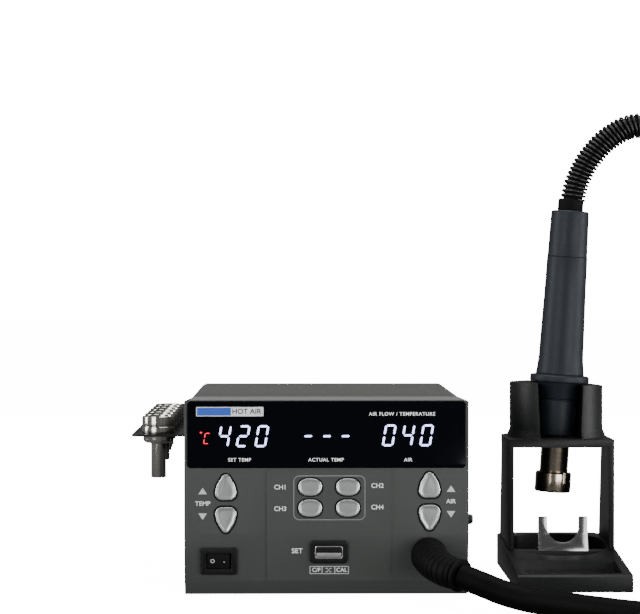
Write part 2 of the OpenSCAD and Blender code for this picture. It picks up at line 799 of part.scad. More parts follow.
module fuse_drawer() {
    color("#1d1e20") at_origin() translate([inlet_at[0], unit_d, inlet_at[1] + 21])
        rotate([-90, 0, 0]) {
            translate([0, 0, -18]) linear_extrude(18.1) square([24, 12], center = true);
            translate([0, 0, 0.05]) round_plate([30, 15], rear_reach - 0.05, 2);
        }
}

// ---- Nozzle rack ----

module nozzle_rack() {
    x0 = rack_out_x;
    x1 = -case_side - 0.05;
    color("#26282a") at_origin() difference() {
        union() {
            translate([x0 + 3, rack_y0, rack_top - rack_t]) cube([x1 - x0 - 3, rack_len, rack_t]);
            translate([x0, rack_y0 + 3, rack_top - rack_t]) cube([6, rack_len - 6, rack_t]);
            for (y = [3, rack_len - 3]) translate([x0 + 3, rack_y0 + y, rack_top - rack_t])
                cylinder(r = 3, h = rack_t);
            translate([x1 - rack_t, rack_y0, rack_top - 15]) cube([rack_t, rack_len, 15]);
        }
        for (i = [0 : 5]) translate([nozzle_x, nozzle_y0 + i * nozzle_pitch, rack_top - 5])
            cylinder(d = rack_hole_d, h = 8);
        for (y = rack_screw_y) translate([x1 - 3, y, rack_top - 8]) rotate([0, 90, 0])
            cylinder(r = 1.7, h = 6);
    }
}

module rack_screws() {
    color("#8f9193") at_origin() for (y = rack_screw_y)
        translate([-case_side - 0.05 - rack_t, y, rack_top - 8]) rotate([0, -90, 0])
            cross_screw(3, 1.4, 1.4, 4.2);
}

// A nozzle that hangs by its collar, with its pipe down: [pipe diameter, pipe length].
module hanging_nozzle(i) {
    pipe = nozzle_pipes[i];
    cup_h = 6.6;
    r = cup_d / 2;
    pipe_r = pipe[0] / 2;
    color("#b4b1ac") at_origin()
        translate([nozzle_x, nozzle_y0 + i * nozzle_pitch, rack_top + 0.02]) difference() {
            rotate_extrude() polygon([
                [0, collar_h], [collar_d / 2 - 0.6, collar_h], [collar_d / 2, collar_h - 0.6],
                [collar_d / 2, 0], [r, 0], [r, 3 - cup_h], [r - 0.8, 1.1 - cup_h], [r - 2.6, -cup_h],
                [pipe_r, -cup_h], [pipe_r, -cup_h - pipe[1]], [0, -cup_h - pipe[1]]]);
            translate([0, 0, 2.4 - cup_h]) cylinder(r = r - 1.4, h = collar_h + cup_h);
            translate([0, 0, 2]) cylinder(r = tube_d / 2 + 0.2, h = collar_h);
            translate([0, 0, -cup_h - pipe[1] - 1]) cylinder(r = pipe_r - 0.6, h = pipe[1] + 8);
            translate([0, -collar_d / 2, collar_h]) cube([2.4, collar_d, 15], center = true);
        }
}

module nozzle_1() hanging_nozzle(0);
module nozzle_2() hanging_nozzle(1);
module nozzle_3() hanging_nozzle(2);
module nozzle_4() hanging_nozzle(3);
module nozzle_5() hanging_nozzle(4);
module nozzle_6() hanging_nozzle(5);

// ---- Stand ----

module stand_base() {
    color("#232526") at_stand() difference() {
        intersection() {
            translate([-stand_w, 0, 0]) rotate([90, 0, 90]) linear_extrude(2 * stand_w)
                polygon([[base_front_y, base_lift], [base_front_y, base_front_h - 1.5],
                    [base_front_y + 1.5, base_front_h], [base_step_y, base_step_h],
                    [base_flat_y, base_back_h], [base_front_y + stand_d + 1, base_back_h],
                    [base_front_y + stand_d + 1, base_lift]]);
            linear_extrude(60) base_outline();
        }
        difference() {
            translate([0, 0, 5]) linear_extrude(40) well_outline();
            translate([-well_r, bridge_y[0], 4])
                cube([2 * well_r, bridge_y[1] - bridge_y[0], bridge_top - 4]);
        }
        tray_hollow();
        for (at = foot_places) translate([at[0], at[1], 0]) cylinder(r = 4.2, h = 2);
        for (x = [8, fork_w - 8]) translate([fork_x - fork_w / 2 + x, fork_y + 9.5, bridge_top - 7])
            cylinder(r = 1.4, h = 10);
    }
}

// Plan of the stand's foot: square front, round back corners.
module base_outline() {
    back = base_front_y + stand_d;
    translate([-stand_w / 2, base_front_y]) square([stand_w, stand_d - base_back_r]);
    translate([-stand_w / 2 + base_back_r, base_front_y])
        square([stand_w - 2 * base_back_r, stand_d]);
    for (x = [-1, 1]) translate([x * (stand_w / 2 - base_back_r), back - base_back_r])
        circle(base_back_r);
}

// Plan of the well: two round ends joined by straight sides.
module well_outline() {
    for (y = well_y) translate([0, y]) circle(well_r);
    translate([-well_r, well_y[0]]) square([2 * well_r, well_y[1] - well_y[0]]);
}

// The tray at the front, with a ledge round its rim.
module tray_hollow() {
    d = tray_y[1] - tray_y[0];
    inner = [tray_w - 2 * tray_ledge[0], d - 2 * tray_ledge[0]];
    translate([-inner[0] / 2, tray_y[0] + tray_ledge[0], tray_floor]) cube([inner[0], inner[1], 40]);
    translate([-tray_w / 2, tray_y[0], base_front_h - tray_ledge[1]]) cube([tray_w, d, 40]);
}

// Portal over the well: two side walls with front posts, a platform and the open cradle.
module stand_frame() {
    hw = stand_frame_w / 2;
    color("#26282a") at_stand() {
        difference() {
            difference() {
                union() {
                    translate([cradle_x, handle_at[1], 0]) rotate_extrude() polygon([
                        [0, platform_z - 1], [cradle_foot_r, platform_z - 1],
                        [cradle_foot_r, platform_z], [cradle_r, platform_z + cradle_fillet],
                        [cradle_r, cradle_z], [0, cradle_z]]);
                    translate([0, 0, platform_z - platform_t]) linear_extrude(platform_t)
                        platform_outline();
                }
                translate([cradle_x, handle_at[1] - 1, 0]) rotate([90, 0, 0])
                    linear_extrude(handle_at[1] - frame_y0) slot_outline();
            }
            cradle_hollow();
        }
        for (x = [-1, 1]) {
            side_wall(x > 0 ? hw - side_t : -hw);
            front_post(x > 0 ? hw - post_w : -hw);
        }
    }
}

// Front view of the cradle's slot, wider at the top.
module slot_outline() {
    low = cradle_slot_w[0] / 2;
    high = cradle_slot_w[1] / 2;
    polygon([[-low, platform_z], [-high, cradle_z + 1], [high, cradle_z + 1], [low, platform_z]]);
}

// Plan of the platform: square front, round back corners.
module platform_outline() {
    r = platform_back_r;
    translate([-stand_frame_w / 2, frame_y0]) square([stand_frame_w, platform_d - r]);
    translate([-stand_frame_w / 2 + r, frame_y0]) square([stand_frame_w - 2 * r, platform_d]);
    for (x = [-1, 1]) translate([x * (stand_frame_w / 2 - r), frame_y0 + platform_d - r]) circle(r);
}

// Side wall at x: deep at its foot, which follows the base, and less deep at the platform.
module side_wall(x) {
    top = platform_z - 1;
    foot = base_back_h + 0.05;
    translate([x, 0, 0]) rotate([90, 0, 90]) linear_extrude(side_t) polygon([
        [frame_y0, base_step_h + 0.05], [frame_y0, top], [frame_y0 + frame_top_d - 0.4, top],
        [frame_y0 + frame_foot_d, foot], [base_flat_y, foot]]);
}

// Front post at x.
module front_post(x) {
    foot = base_step_h + 0.55;
    translate([x, frame_y0, foot]) cube([post_w, post_d, platform_z - 1 - foot]);
}

// The tapered hollow that the handle's head rests in, along the handle's own axis.
module cradle_hollow() {
    r0 = head_low_d / 2 + head_clear;
    r1 = head_high_d / 2 + head_clear;
    translate([cradle_x, handle_at[1], handle_at[2]]) rotate([0, handle_lean, 0])
        rotate_extrude() polygon([[0, -20], [r0, -20], [r0, 0], [r1, head_h - 0.5],
            [60, head_h - 0.5], [60, head_h + 20], [0, head_h + 20]]);
}

// Steel fork for pulling hot nozzles off: foot, sloping front and two prongs.
module fork_bracket() {
    z0 = bridge_top + 0.05;
    color("#b6b3ad") at_stand() difference() {
        translate([fork_x - fork_w / 2, 0, 0]) rotate([90, 0, 90]) linear_extrude(fork_w)
            polygon([[fork_y + 13, z0], [fork_y, z0], [fork_y + 4.4, fork_bend_z],
                [fork_y + 4.4, fork_top], [fork_y + 4.4 + fork_t, fork_top],
                [fork_y + 4.4 + fork_t, fork_bend_z - 0.3], [fork_y + 2.3, z0 + fork_t],
                [fork_y + 13, z0 + fork_t]]);
        translate([fork_x - fork_gap / 2, fork_y - 1, fork_seat_z + fork_gap / 2])
            cube([fork_gap, 8, 40]);
        translate([fork_x, fork_y - 1, fork_seat_z + fork_gap / 2]) rotate([-90, 0, 0])
            cylinder(d = fork_gap, h = 8);
        for (x = [8, fork_w - 8]) translate([fork_x - fork_w / 2 + x, fork_y + 9.5, z0 - 1])
            cylinder(r = 1.7, h = 4);
    }
}

module stand_screws() {
    color("#8f9193") at_stand() for (x = [8, fork_w - 8])
        translate([fork_x - fork_w / 2 + x, fork_y + 9.5, bridge_top + 0.05 + fork_t])
            cross_screw(2.6, 1.3, 1.35, 6);
}

module sleep_magnet() {
    color("#55575a") at_stand() translate([cradle_x, handle_at[1] + cradle_r + 0.05, platform_z + 14])
        rotate([-90, 0, 0]) cylinder(r = 5, h = 3);
}

module stand_feet() {
    color("#1a1a1b") at_stand() for (at = foot_places)
        translate([at[0], at[1], 0]) cylinder(r = 4, h = 2);
}

// ---- Handle ----

module handle_head() {
    r0 = head_low_d / 2;
    r1 = head_high_d / 2;
    groove = 26;
    color("#2c3036") at_handle() difference() {
        rotate_extrude() polygon([
            [0, 0], [r0 - 0.8, 0], [r0, 0.8], [r0 + 1.35, groove - 0.4], [r0 + 0.7, groove],
            [r0 + 0.7, groove + 0.8], [r0 + 1.8, groove + 1.2], [r1, head_h],
            [flange_d / 2, head_h + 0.2], [flange_d / 2, head_h + 4.2],
            [flange_d / 2 - 0.8, head_h + 5], [17.6, head_h + 5.4], [0, head_h + 5.4]]);
        translate([0, 0, -1]) cylinder(d = tube_d + 0.1, h = 29);
        translate([0, 0, 25.9]) cylinder(r = 13, h = 20);
        translate([10, -17.2, 9.8]) cube([1.4, 6.2, 10.5]);
    }
}

module handle_grip() {
    z0 = head_h + 5.45;
    color("#2c3036") at_handle() difference() {
        rotate_extrude() polygon([
            [0, z0], [17.6, z0], [17.6, z0 + 1.2], [16.9, z0 + 4], [16.4, z0 + 9], [16.1, z0 + 22],
            [15.6, z0 + 44], [15.1, z0 + 62], [grip_d / 2, grip_joint_h], [0, grip_joint_h]]);
        translate([0, 0, z0 - 1]) cylinder(r = 12.4, h = grip_joint_h - z0 + 2);
    }
}

module grip_cap() {
    z0 = grip_joint_h + 0.05;
    color("#2a2e34") at_handle() difference() {
        rotate_extrude() polygon([
            [0, z0], [grip_d / 2, z0], [grip_d / 2, z0 + 0.8], [grip_d / 2 - 0.5, z0 + 1.6],
            [14.2, z0 + 16], [13.8, grip_top_h - 1.2], [12.9, grip_top_h], [0, grip_top_h]]);
        translate([0, 0, z0 - 1]) cylinder(r = 11.8, h = grip_top_h - z0 - 3);
        translate([0, 0, grip_top_h - 6]) cylinder(d = 20.4, h = 8);
    }
}

module heater_tube() {
    color("#a9a296") at_handle() difference() {
        union() {
            translate([0, 0, tube_bottom_h]) cylinder(d = tube_d, h = 26 - tube_bottom_h);
            translate([0, 0, 26]) cylinder(r = 12.8, h = 1.4);
        }
        translate([0, 0, tube_bottom_h - 1]) cylinder(d = tube_d - 2 * tube_wall, h = 70);
        for (k = [0 : 5]) rotate(k * 60 + 10) translate([tube_d / 2, 0, -6]) rotate([0, 90, 0])
            cylinder(r = 1.3, h = 6, center = true);
    }
}

// Ceramic heater in its mica sleeve, on the axis of the tube.
module heater_core() {
    color("#e4dccb") at_handle() difference() {
        union() {
            translate([0, 0, -24]) cylinder(d = 17.4, h = 74);
            translate([0, 0, 50]) cylinder(d = 21, h = 8);
        }
        for (k = [0 : 5]) rotate(k * 60) translate([5, 0, -25]) cylinder(r = 1.6, h = 90);
        translate([0, 0, -25]) cylinder(r = 1.6, h = 90);
    }
}

// Straight nozzle: clamp collar over the heater tube and a short outlet ring.
module fitted_nozzle() {
    color("#9d968b") at_handle() difference() {
        union() {
            translate([0, 0, ring_bottom_h + 0.7]) cylinder(d = ring_d, h = ring_top_h - ring_bottom_h - 1.2);
            translate([0, 0, ring_bottom_h]) cylinder(d1 = ring_d - 1.4, d2 = ring_d, h = 0.71);
            translate([0, 0, ring_top_h - 0.5]) cylinder(d1 = ring_d, d2 = ring_d - 1, h = 0.5);
        }
        translate([0, 0, tube_bottom_h - 0.3]) cylinder(d = tube_d + 0.12, h = 20);
        translate([0, 0, ring_bottom_h - 1]) cylinder(d = tube_d - 1.2, h = 30);
        translate([7, -12, tube_bottom_h]) cube([1.6, 4, 12], center = true);
    }
}

// ---- Hose ----

module spring_guard() {
    route = smooth_route(guard_route, 3);
    color("#0e0e0f") at_origin() swept_tube(route, [for (p = route) 9.8], hose_sides);
}

module hose_boot() {
    route = smooth_route(boot_route, 2);
    n = len(route) - 1;
    color("#111112") at_origin() swept_tube(route,
        [for (i = [0 : n]) 11.8 - 2.6 * i / n], hose_sides);
}

module hose() {
    route = smooth_route(hose_route, 2);
    color("#131314") at_origin() swept_tube(route, [for (p = route) hose_d / 2], hose_sides);
}

base_tray();
case_cover();
rear_panel();
front_bezel();
display_window();
display_modules();
control_board();
tact_switches();
temp_up_key();
temp_down_key();
air_up_key();
air_down_key();
channel_key_1();
channel_key_2();
channel_key_3();
channel_key_4();
set_key();
set_surround();
switch_housing();
power_rocker();
hose_socket();
transformer_core();
transformer_coil();
power_board();
power_parts();
heat_sink();
board_standoffs();
blower_housing();
blower_cover();
blower_impeller();
blower_motor();
air_duct();
mains_inlet();
fuse_drawer();
rubber_feet();
case_screws();
side_screws();
nozzle_rack();
rack_screws();
nozzle_1();
nozzle_2();
nozzle_3();
nozzle_4();
nozzle_5();
nozzle_6();
stand_base();
stand_frame();
fork_bracket();
stand_screws();
sleep_magnet();
stand_feet();
handle_head();
handle_grip();
grip_cap();
heater_tube();
heater_core();
fitted_nozzle();
spring_guard();
hose_boot();
hose();
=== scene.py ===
"""Looks of a bench hot air station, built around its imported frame.

The unit's own millimetre frame has X = 0 in the middle of the front panel, Y = 0 on the
upright face and Z = 0 on the bench, and ``Places`` turns it into metres in the part's frame.
"""
from __future__ import annotations

import json
import logging
import math
from dataclasses import dataclass, field
from enum import Enum
from typing import Callable, ClassVar, Iterable, Sequence

import bpy
import numpy as np
from mathutils import Matrix, Vector

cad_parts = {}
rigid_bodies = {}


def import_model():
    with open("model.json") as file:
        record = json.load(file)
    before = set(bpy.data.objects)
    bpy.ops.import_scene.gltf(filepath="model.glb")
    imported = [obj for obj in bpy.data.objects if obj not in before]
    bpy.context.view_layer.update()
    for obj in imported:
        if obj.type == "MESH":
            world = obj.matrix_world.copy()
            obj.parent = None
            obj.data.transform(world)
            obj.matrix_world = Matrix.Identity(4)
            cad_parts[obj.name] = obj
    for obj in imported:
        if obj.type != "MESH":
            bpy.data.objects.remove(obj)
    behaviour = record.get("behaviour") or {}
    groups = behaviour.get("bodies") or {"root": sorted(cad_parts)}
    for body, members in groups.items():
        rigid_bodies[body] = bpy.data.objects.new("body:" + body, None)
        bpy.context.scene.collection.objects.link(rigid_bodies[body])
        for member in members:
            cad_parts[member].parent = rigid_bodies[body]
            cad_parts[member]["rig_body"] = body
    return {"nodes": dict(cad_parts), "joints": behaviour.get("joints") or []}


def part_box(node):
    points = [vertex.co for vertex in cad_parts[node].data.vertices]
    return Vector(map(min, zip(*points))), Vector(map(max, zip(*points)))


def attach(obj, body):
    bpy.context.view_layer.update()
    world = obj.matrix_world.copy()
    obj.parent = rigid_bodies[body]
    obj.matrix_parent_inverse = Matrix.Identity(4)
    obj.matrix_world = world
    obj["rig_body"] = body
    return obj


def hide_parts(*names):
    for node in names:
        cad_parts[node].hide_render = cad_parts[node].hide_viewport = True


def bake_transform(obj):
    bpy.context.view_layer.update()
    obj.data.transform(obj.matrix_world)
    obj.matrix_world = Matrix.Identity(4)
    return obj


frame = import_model()

LOG = logging.getLogger("hot_air_station")
MM = 0.001
SHALLOW_FOLD = (3.0, 14.0)  # degrees, between a curve's facets and a rounded edge
CAPITAL = 0.69  # a capital letter's height as a share of the font's size
BOLD_MM = 2.5  # letters taller than this are printed bolder and closer together
Object = bpy.types.Object
Material = bpy.types.Material
Point = Sequence[float]


def linear(red: float, green: float, blue: float) -> tuple[float, float, float, float]:
    """Turn a display colour from 0 to 255 into the linear colour that shaders take.

    Args:
        red: Red, 0 to 255.
        green: Green, 0 to 255.
        blue: Blue, 0 to 255.

    Returns:
        Linear red, green, blue and an alpha of 1.
    """
    def one(value: float) -> float:
        """Convert one channel."""
        share = value / 255
        return share / 12.92 if share <= 0.04045 else ((share + 0.055) / 1.055) ** 2.4

    return (one(red), one(green), one(blue), 1.0)


# ---------------------------------------------------------------- places


@dataclass(frozen=True)
class Places:
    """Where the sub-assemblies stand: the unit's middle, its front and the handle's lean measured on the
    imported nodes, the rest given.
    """

    unit_x: float
    front_y: float
    lean: float
    panel_proud: float = 0.8
    lower_kink: float = 43.6
    lower_lip: float = 11.6
    lower_lean: float = 5.0
    handle_seat: tuple[float, float, float] = (170.3, 147.0, 100.0)

    @classmethod
    def measure(cls) -> "Places":
        """Read the places off the bezel and the handle's joint.

        Returns:
            The places of this pack.
        """
        low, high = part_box("front_bezel")
        lift = next(j for j in frame["joints"] if j["name"] == "handle_lift")
        return cls(
            unit_x=(low.x + high.x) / 2,
            front_y=low.y + cls.panel_proud * MM,
            lean=math.atan2(lift["axis"][0], lift["axis"][2]),
        )

    @property
    def lower_tilt(self) -> float:
        """How far the lower face leans back, in radians."""
        return math.atan(self.lower_lean / (self.lower_kink - self.lower_lip))

    def unit(self, point: Point) -> Vector:
        """Turn a point of the unit's own frame, in mm, into the part's frame, in metres."""
        x, y, z = point
        return Vector((self.unit_x + x * MM, self.front_y + y * MM, z * MM))

    def face(self, x: float, z: float, out: float = 0.0) -> Matrix:
        """Matrix of a spot on the upright face: X across, Y up, Z out of the face."""
        return Matrix.Translation(self.unit((x, -out, z))) @ Matrix.Rotation(math.pi / 2, 4, "X")

    def lower_face(self, x: float, z: float, out: float = 0.0) -> Matrix:
        """Matrix of a spot on the leaning lower face: X across, Y up the face, Z out of it.

        Args:
            x: Distance from the unit's middle, in mm.
            z: Height above the bench, in mm.
            out: Distance out of the face, in mm.

        Returns:
            The spot's matrix.
        """
        depth = self.lower_lean * (self.lower_kink - z) / (self.lower_kink - self.lower_lip)
        turn = Matrix.Rotation(math.pi / 2 + self.lower_tilt, 4, "X")
        return Matrix.Translation(self.unit((x, depth, z))) @ turn @ Matrix.Translation((0, 0, out * MM))

    def handle(self) -> Matrix:
        """Matrix of the handle's axis, from the seat of its head upwards."""
        return Matrix.Translation(self.unit(self.handle_seat)) @ Matrix.Rotation(self.lean, 4, "Y")


# ---------------------------------------------------------------- finishes


class Grain(Enum):
    """The surface textures that the station's materials show."""

    SMOOTH = "smooth"
    MOULDED = "moulded"
    POWDER = "powder"
    BRUSHED = "brushed"
    TURNED = "turned"
    RUBBER = "rubber"


@dataclass(frozen=True)
class Finish:
    """One procedural material, with its colour variation, roughness variation and bump."""

    name: str
    colour: tuple[float, float, float, float]
    rough: float
    metal: float = 0.0
    grain: Grain = Grain.SMOOTH
    grain_mm: float = 0.5
    relief: float = 0.1
    mottle: float = 0.1
    mottle_mm: float = 40.0
    rough_spread: float = 0.08
    specular: float = 0.5
    turn: tuple[float, float, float] = (0.0, 0.0, 0.0)

    def make(self) -> Material:
        """Build the material's nodes.

        Returns:
            The finished material.
        """
        mat = bpy.data.materials.new(self.name)
        mat.use_nodes = True
        nodes, links = mat.node_tree.nodes, mat.node_tree.links
        shader = nodes["Principled BSDF"]
        shader.inputs["Metallic"].default_value = self.metal
        shader.inputs["Specular IOR Level"].default_value = self.specular
        where = nodes.new("ShaderNodeTexCoord")
        cloud = self._noise(nodes, 1000.0 / self.mottle_mm, 3.0)
        links.new(where.outputs["Object"], cloud.inputs["Vector"])
        shade = nodes.new("ShaderNodeMix")
        shade.data_type = "RGBA"
        shade.inputs["A"].default_value = self._scaled(1 - self.mottle)
        shade.inputs["B"].default_value = self._scaled(1 + self.mottle)
        links.new(cloud.outputs["Fac"], shade.inputs["Factor"])
        links.new(shade.outputs["Result"], shader.inputs["Base Color"])
        spread = nodes.new("ShaderNodeMapRange")
        spread.inputs["From Min"].default_value = 0.3
        spread.inputs["From Max"].default_value = 0.7
        spread.inputs["To Min"].default_value = max(0.02, self.rough - self.rough_spread)
        spread.inputs["To Max"].default_value = min(1.0, self.rough + self.rough_spread)
        links.new(spread.outputs["Result"], shader.inputs["Roughness"])
        fine = self._grain_noise(nodes, links, where)
        links.new((fine or cloud).outputs["Fac"], spread.inputs["Value"])
        if fine is not None and self.relief > 0:
            bump = nodes.new("ShaderNodeBump")
            bump.inputs["Strength"].default_value = self.relief
            bump.inputs["Distance"].default_value = self.grain_mm * MM * 0.5
            links.new(fine.outputs["Fac"], bump.inputs["Height"])
            links.new(bump.outputs["Normal"], shader.inputs["Normal"])
        return mat

    def _scaled(self, share: float) -> tuple[float, float, float, float]:
        """The base colour, made darker or lighter."""
        return (self.colour[0] * share, self.colour[1] * share, self.colour[2] * share, 1.0)

    def _noise(self, nodes: bpy.types.Nodes, scale: float, detail: float) -> bpy.types.Node:
        """Add a noise node.

        Args:
            nodes: The material's nodes.
            scale: Features a metre.
            detail: Octaves of finer detail.

        Returns:
            The noise node.
        """
        noise = nodes.new("ShaderNodeTexNoise")
        noise.inputs["Scale"].default_value = scale
        noise.inputs["Detail"].default_value = detail
        return noise

    def _grain_noise(self, nodes: bpy.types.Nodes, links: bpy.types.NodeLinks,
                     where: bpy.types.Node) -> bpy.types.Node | None:
        """Add the fine noise of this grain, stretched for brushed and turned metal.

        Args:
            nodes: The material's nodes.
            links: The material's links.
            where: The texture coordinate node.

        Returns:
            The noise node, or None for a smooth finish.
        """
        if self.grain is Grain.SMOOTH:
            return None
        stretch = {
            Grain.MOULDED: (1, 1, 1), Grain.POWDER: (1, 1, 1), Grain.RUBBER: (1, 1, 1),
            Grain.BRUSHED: (0.03, 0.6, 1), Grain.TURNED: (0.04, 0.04, 1),
        }[self.grain]
        detail = 5.0 if self.grain is Grain.POWDER else 2.0
        fine = self._noise(nodes, 1000.0 / self.grain_mm, detail)
        mapping = nodes.new("ShaderNodeMapping")
        mapping.vector_type = "TEXTURE"
        mapping.inputs["Scale"].default_value = [1 / share for share in stretch]
        mapping.inputs["Rotation"].default_value = self.turn
        links.new(where.outputs["Object"], mapping.inputs["Vector"])
        links.new(mapping.outputs["Vector"], fine.inputs["Vector"])
        return fine


@dataclass(frozen=True)
class Glow:
    """A glowing colour: the lit LEDs, the even floor and backdrop, and the painted glow on the printed
    captions.
    """

    name: str
    colour: tuple[float, float, float, float]
    strength: float

    def make(self) -> Material:
        """Build the glowing material.

        Returns:
            The finished material.
        """
        mat = bpy.data.materials.new(self.name)
        mat.use_nodes = True
        shader = mat.node_tree.nodes["Principled BSDF"]
        shader.inputs["Base Color"].default_value = self.colour
        shader.inputs["Roughness"].default_value = 0.35
        shader.inputs["Emission Color"].default_value = self.colour
        shader.inputs["Emission Strength"].default_value = self.strength
        return mat


FINISHES: dict[str, Finish | Glow] = {
    "bezel": Finish("bezel_metallic_grey", linear(58, 61, 59), 0.42, 0.25, Grain.MOULDED, 0.35, 0.1,
                    0.05, 60, 0.05),
    "cover": Finish("cover_powder_coat", linear(62, 62, 60), 0.46, 0.1, Grain.POWDER, 0.7, 0.24, 0.06,
                    90, 0.06),
    "chassis": Finish("chassis_dark_steel", linear(44, 46, 45), 0.5, 0.3, Grain.POWDER, 0.6, 0.2, 0.06),
    "window": Finish("window_smoked_gloss", linear(3, 4, 8), 0.07, 0.0, Grain.SMOOTH, 1, 0, 0.2, 30,
                     0.02, 0.1),
    # key_rim: the keys' silver painted lighter, a painted highlight along each rounded rim
    "key_rim": Finish("key_bright_rim", linear(206, 208, 209), 0.24, 0.9, Grain.MOULDED, 0.4, 0.03,
                      0.04, 8, 0.04),
    "key_face": Finish("key_satin_face", linear(162, 164, 164), 0.34, 0.75, Grain.MOULDED, 0.3, 0.04,
                       0.05, 8, 0.05),
    "black": Finish("black_moulded", linear(11, 11, 12), 0.42, 0.0, Grain.MOULDED, 0.4, 0.1, 0.12, 25,
                    0.08, 0.25),
    # gap: painted shadow for the rings round the keys, and the plain black of the rocker and the badge's
    # words
    "gap": Finish("painted_gap_shadow_and_black", linear(5, 5, 5), 0.7, 0.0, Grain.MOULDED, 0.4, 0.05, 0.1, 20, 0.05, 0.15),
    "chrome": Finish("chrome_trim", linear(226, 226, 224), 0.2, 0.95, Grain.MOULDED, 0.6, 0.03, 0.05, 9),
    "print": Finish("print_pale_grey", linear(214, 217, 219), 0.55, 0.0, Grain.MOULDED, 0.2, 0.05, 0.04,
                    6),
    "print_dim": Finish("print_dim_grey", linear(178, 181, 184), 0.55, 0.0, Grain.MOULDED, 0.2, 0.05,
                        0.04, 6),
    "line": Finish("print_line_grey", linear(122, 127, 125), 0.5, 0.2, Grain.MOULDED, 0.2, 0.05, 0.04, 6),
    "stand": Finish("stand_charcoal", linear(13, 14, 14), 0.44, 0.0, Grain.MOULDED, 0.55, 0.14, 0.1, 45,
                    0.07, 0.2),
    "grip": Finish("grip_blue_grey", linear(20, 25, 32), 0.5, 0.0, Grain.MOULDED, 0.45, 0.16, 0.07, 35,
                   0.06, 0.22),
    "hose": Finish("hose_silicone", linear(4, 4, 4), 0.6, 0.0, Grain.RUBBER, 1.2, 0.05, 0.15, 50,
                   0.1, 0.05),
    "rubber": Finish("rubber_matte", linear(4, 4, 4), 0.62, 0.0, Grain.RUBBER, 0.6, 0.15, 0.12, 15,
                     0.08, 0.08),
    "wire": Finish("spring_black_wire", linear(8, 8, 8), 0.3, 0.0, Grain.MOULDED, 0.5, 0.05, 0.1, 9,
                   0.08, 0.35),
    "tube": Finish("tube_heated_steel", linear(176, 164, 146), 0.2, 1.0, Grain.TURNED, 0.4, 0.02, 0.12,
                   14, 0.05, turn=(0.0, math.radians(3.6), 0.0)),
    "nozzle": Finish("nozzle_turned_steel", linear(184, 181, 175), 0.15, 1.0, Grain.TURNED, 0.4, 0.02,
                     0.07, 12, 0.05),
    "fork": Finish("fork_brushed_steel", linear(128, 128, 127), 0.22, 1.0, Grain.BRUSHED, 0.4, 0.015,
                   0.05, 16, 0.05),
    "rack": Finish("rack_black_coat", linear(18, 18, 18), 0.33, 0.2, Grain.POWDER, 0.5, 0.15, 0.1, 30,
                   0.08, 0.4),
    "screw": Finish("screw_zinc", linear(170, 172, 174), 0.32, 0.95, Grain.TURNED, 0.3, 0.06, 0.1, 5),
    "board": Finish("circuit_board", linear(24, 92, 50), 0.45, 0.0, Grain.MOULDED, 0.8, 0.1, 0.2, 12),
    "iron": Finish("laminated_iron", linear(96, 97, 100), 0.42, 0.8, Grain.BRUSHED, 0.9, 0.3, 0.15, 18,
                   turn=(0.0, math.pi / 2, 0.0)),
    "tape": Finish("winding_tape", linear(196, 150, 62), 0.38, 0.0, Grain.BRUSHED, 0.9, 0.2, 0.18, 12),
    "part": Finish("component_sleeve", linear(34, 48, 84), 0.34, 0.0, Grain.MOULDED, 0.5, 0.05, 0.25, 10),
    "sink": Finish("sink_aluminium", linear(190, 192, 194), 0.34, 1.0, Grain.BRUSHED, 0.5, 0.12, 0.08,
                   14),
    "brass": Finish("brass_standoff", linear(205, 170, 95), 0.28, 1.0, Grain.TURNED, 0.4, 0.08, 0.08, 6),
    "mica": Finish("mica_sleeve", linear(222, 212, 190), 0.6, 0.0, Grain.POWDER, 0.8, 0.3, 0.12, 8),
    "led_blue": Glow("led_blue_white", (0.56, 0.58, 1.0, 1.0), 3.4),
    "led_red": Glow("led_red", (0.9, 0.01, 0.04, 1.0), 1.2),
    # caption: pale print given a faint glow, which is painted light
    "caption": Glow("caption_print_painted_glow", (0.75, 0.75, 0.75, 1.0), 0.5),
    "floor": Glow("studio_floor", (1.0, 1.0, 1.0, 1.0), 15.0),
    "backdrop": Glow("studio_backdrop", (1.0, 1.0, 1.0, 1.0), 17.0),
    "badge_blue": Finish("badge_blue", linear(30, 78, 176), 0.4, 0.0, Grain.MOULDED, 0.3, 0.04, 0.05, 10),
}
_made: dict[str, Material] = {}


def finish(key: str) -> Material:
    """The material of a finish, made the first time it is asked for.

    Args:
        key: The finish's key in FINISHES.

    Returns:
        The material.
    """
    if key not in _made:
        _made[key] = FINISHES[key].make()
    return _made[key]


def dress(obj: Object, key: str) -> Object:
    """Give a piece a single finish.

    Args:
        obj: The piece.
        key: The finish's key in FINISHES.

    Returns:
        The piece.
    """
    obj.data.materials.clear()
    obj.data.materials.append(finish(key))
    return obj


# ---------------------------------------------------------------- bench tools


def pick(obj: Object) -> Object:
    """Deselect everything, then select a piece and make it active.

    Args:
        obj: The piece.

    Returns:
        The piece.
    """
    bpy.ops.object.select_all(action="DESELECT")
    obj.select_set(True)
    bpy.context.view_layer.objects.active = obj
    return obj


def edit(obj: Object, work: Callable[[], None]) -> Object:
    """Run operators on a piece in edit mode, with all of it selected first.

    Args:
        obj: The piece.
        work: The operators to run.

    Returns:
        The piece.
    """
    pick(obj)
    bpy.ops.object.mode_set(mode="EDIT")
    bpy.ops.mesh.select_all(action="SELECT")
    work()
    bpy.ops.object.mode_set(mode="OBJECT")
    return obj


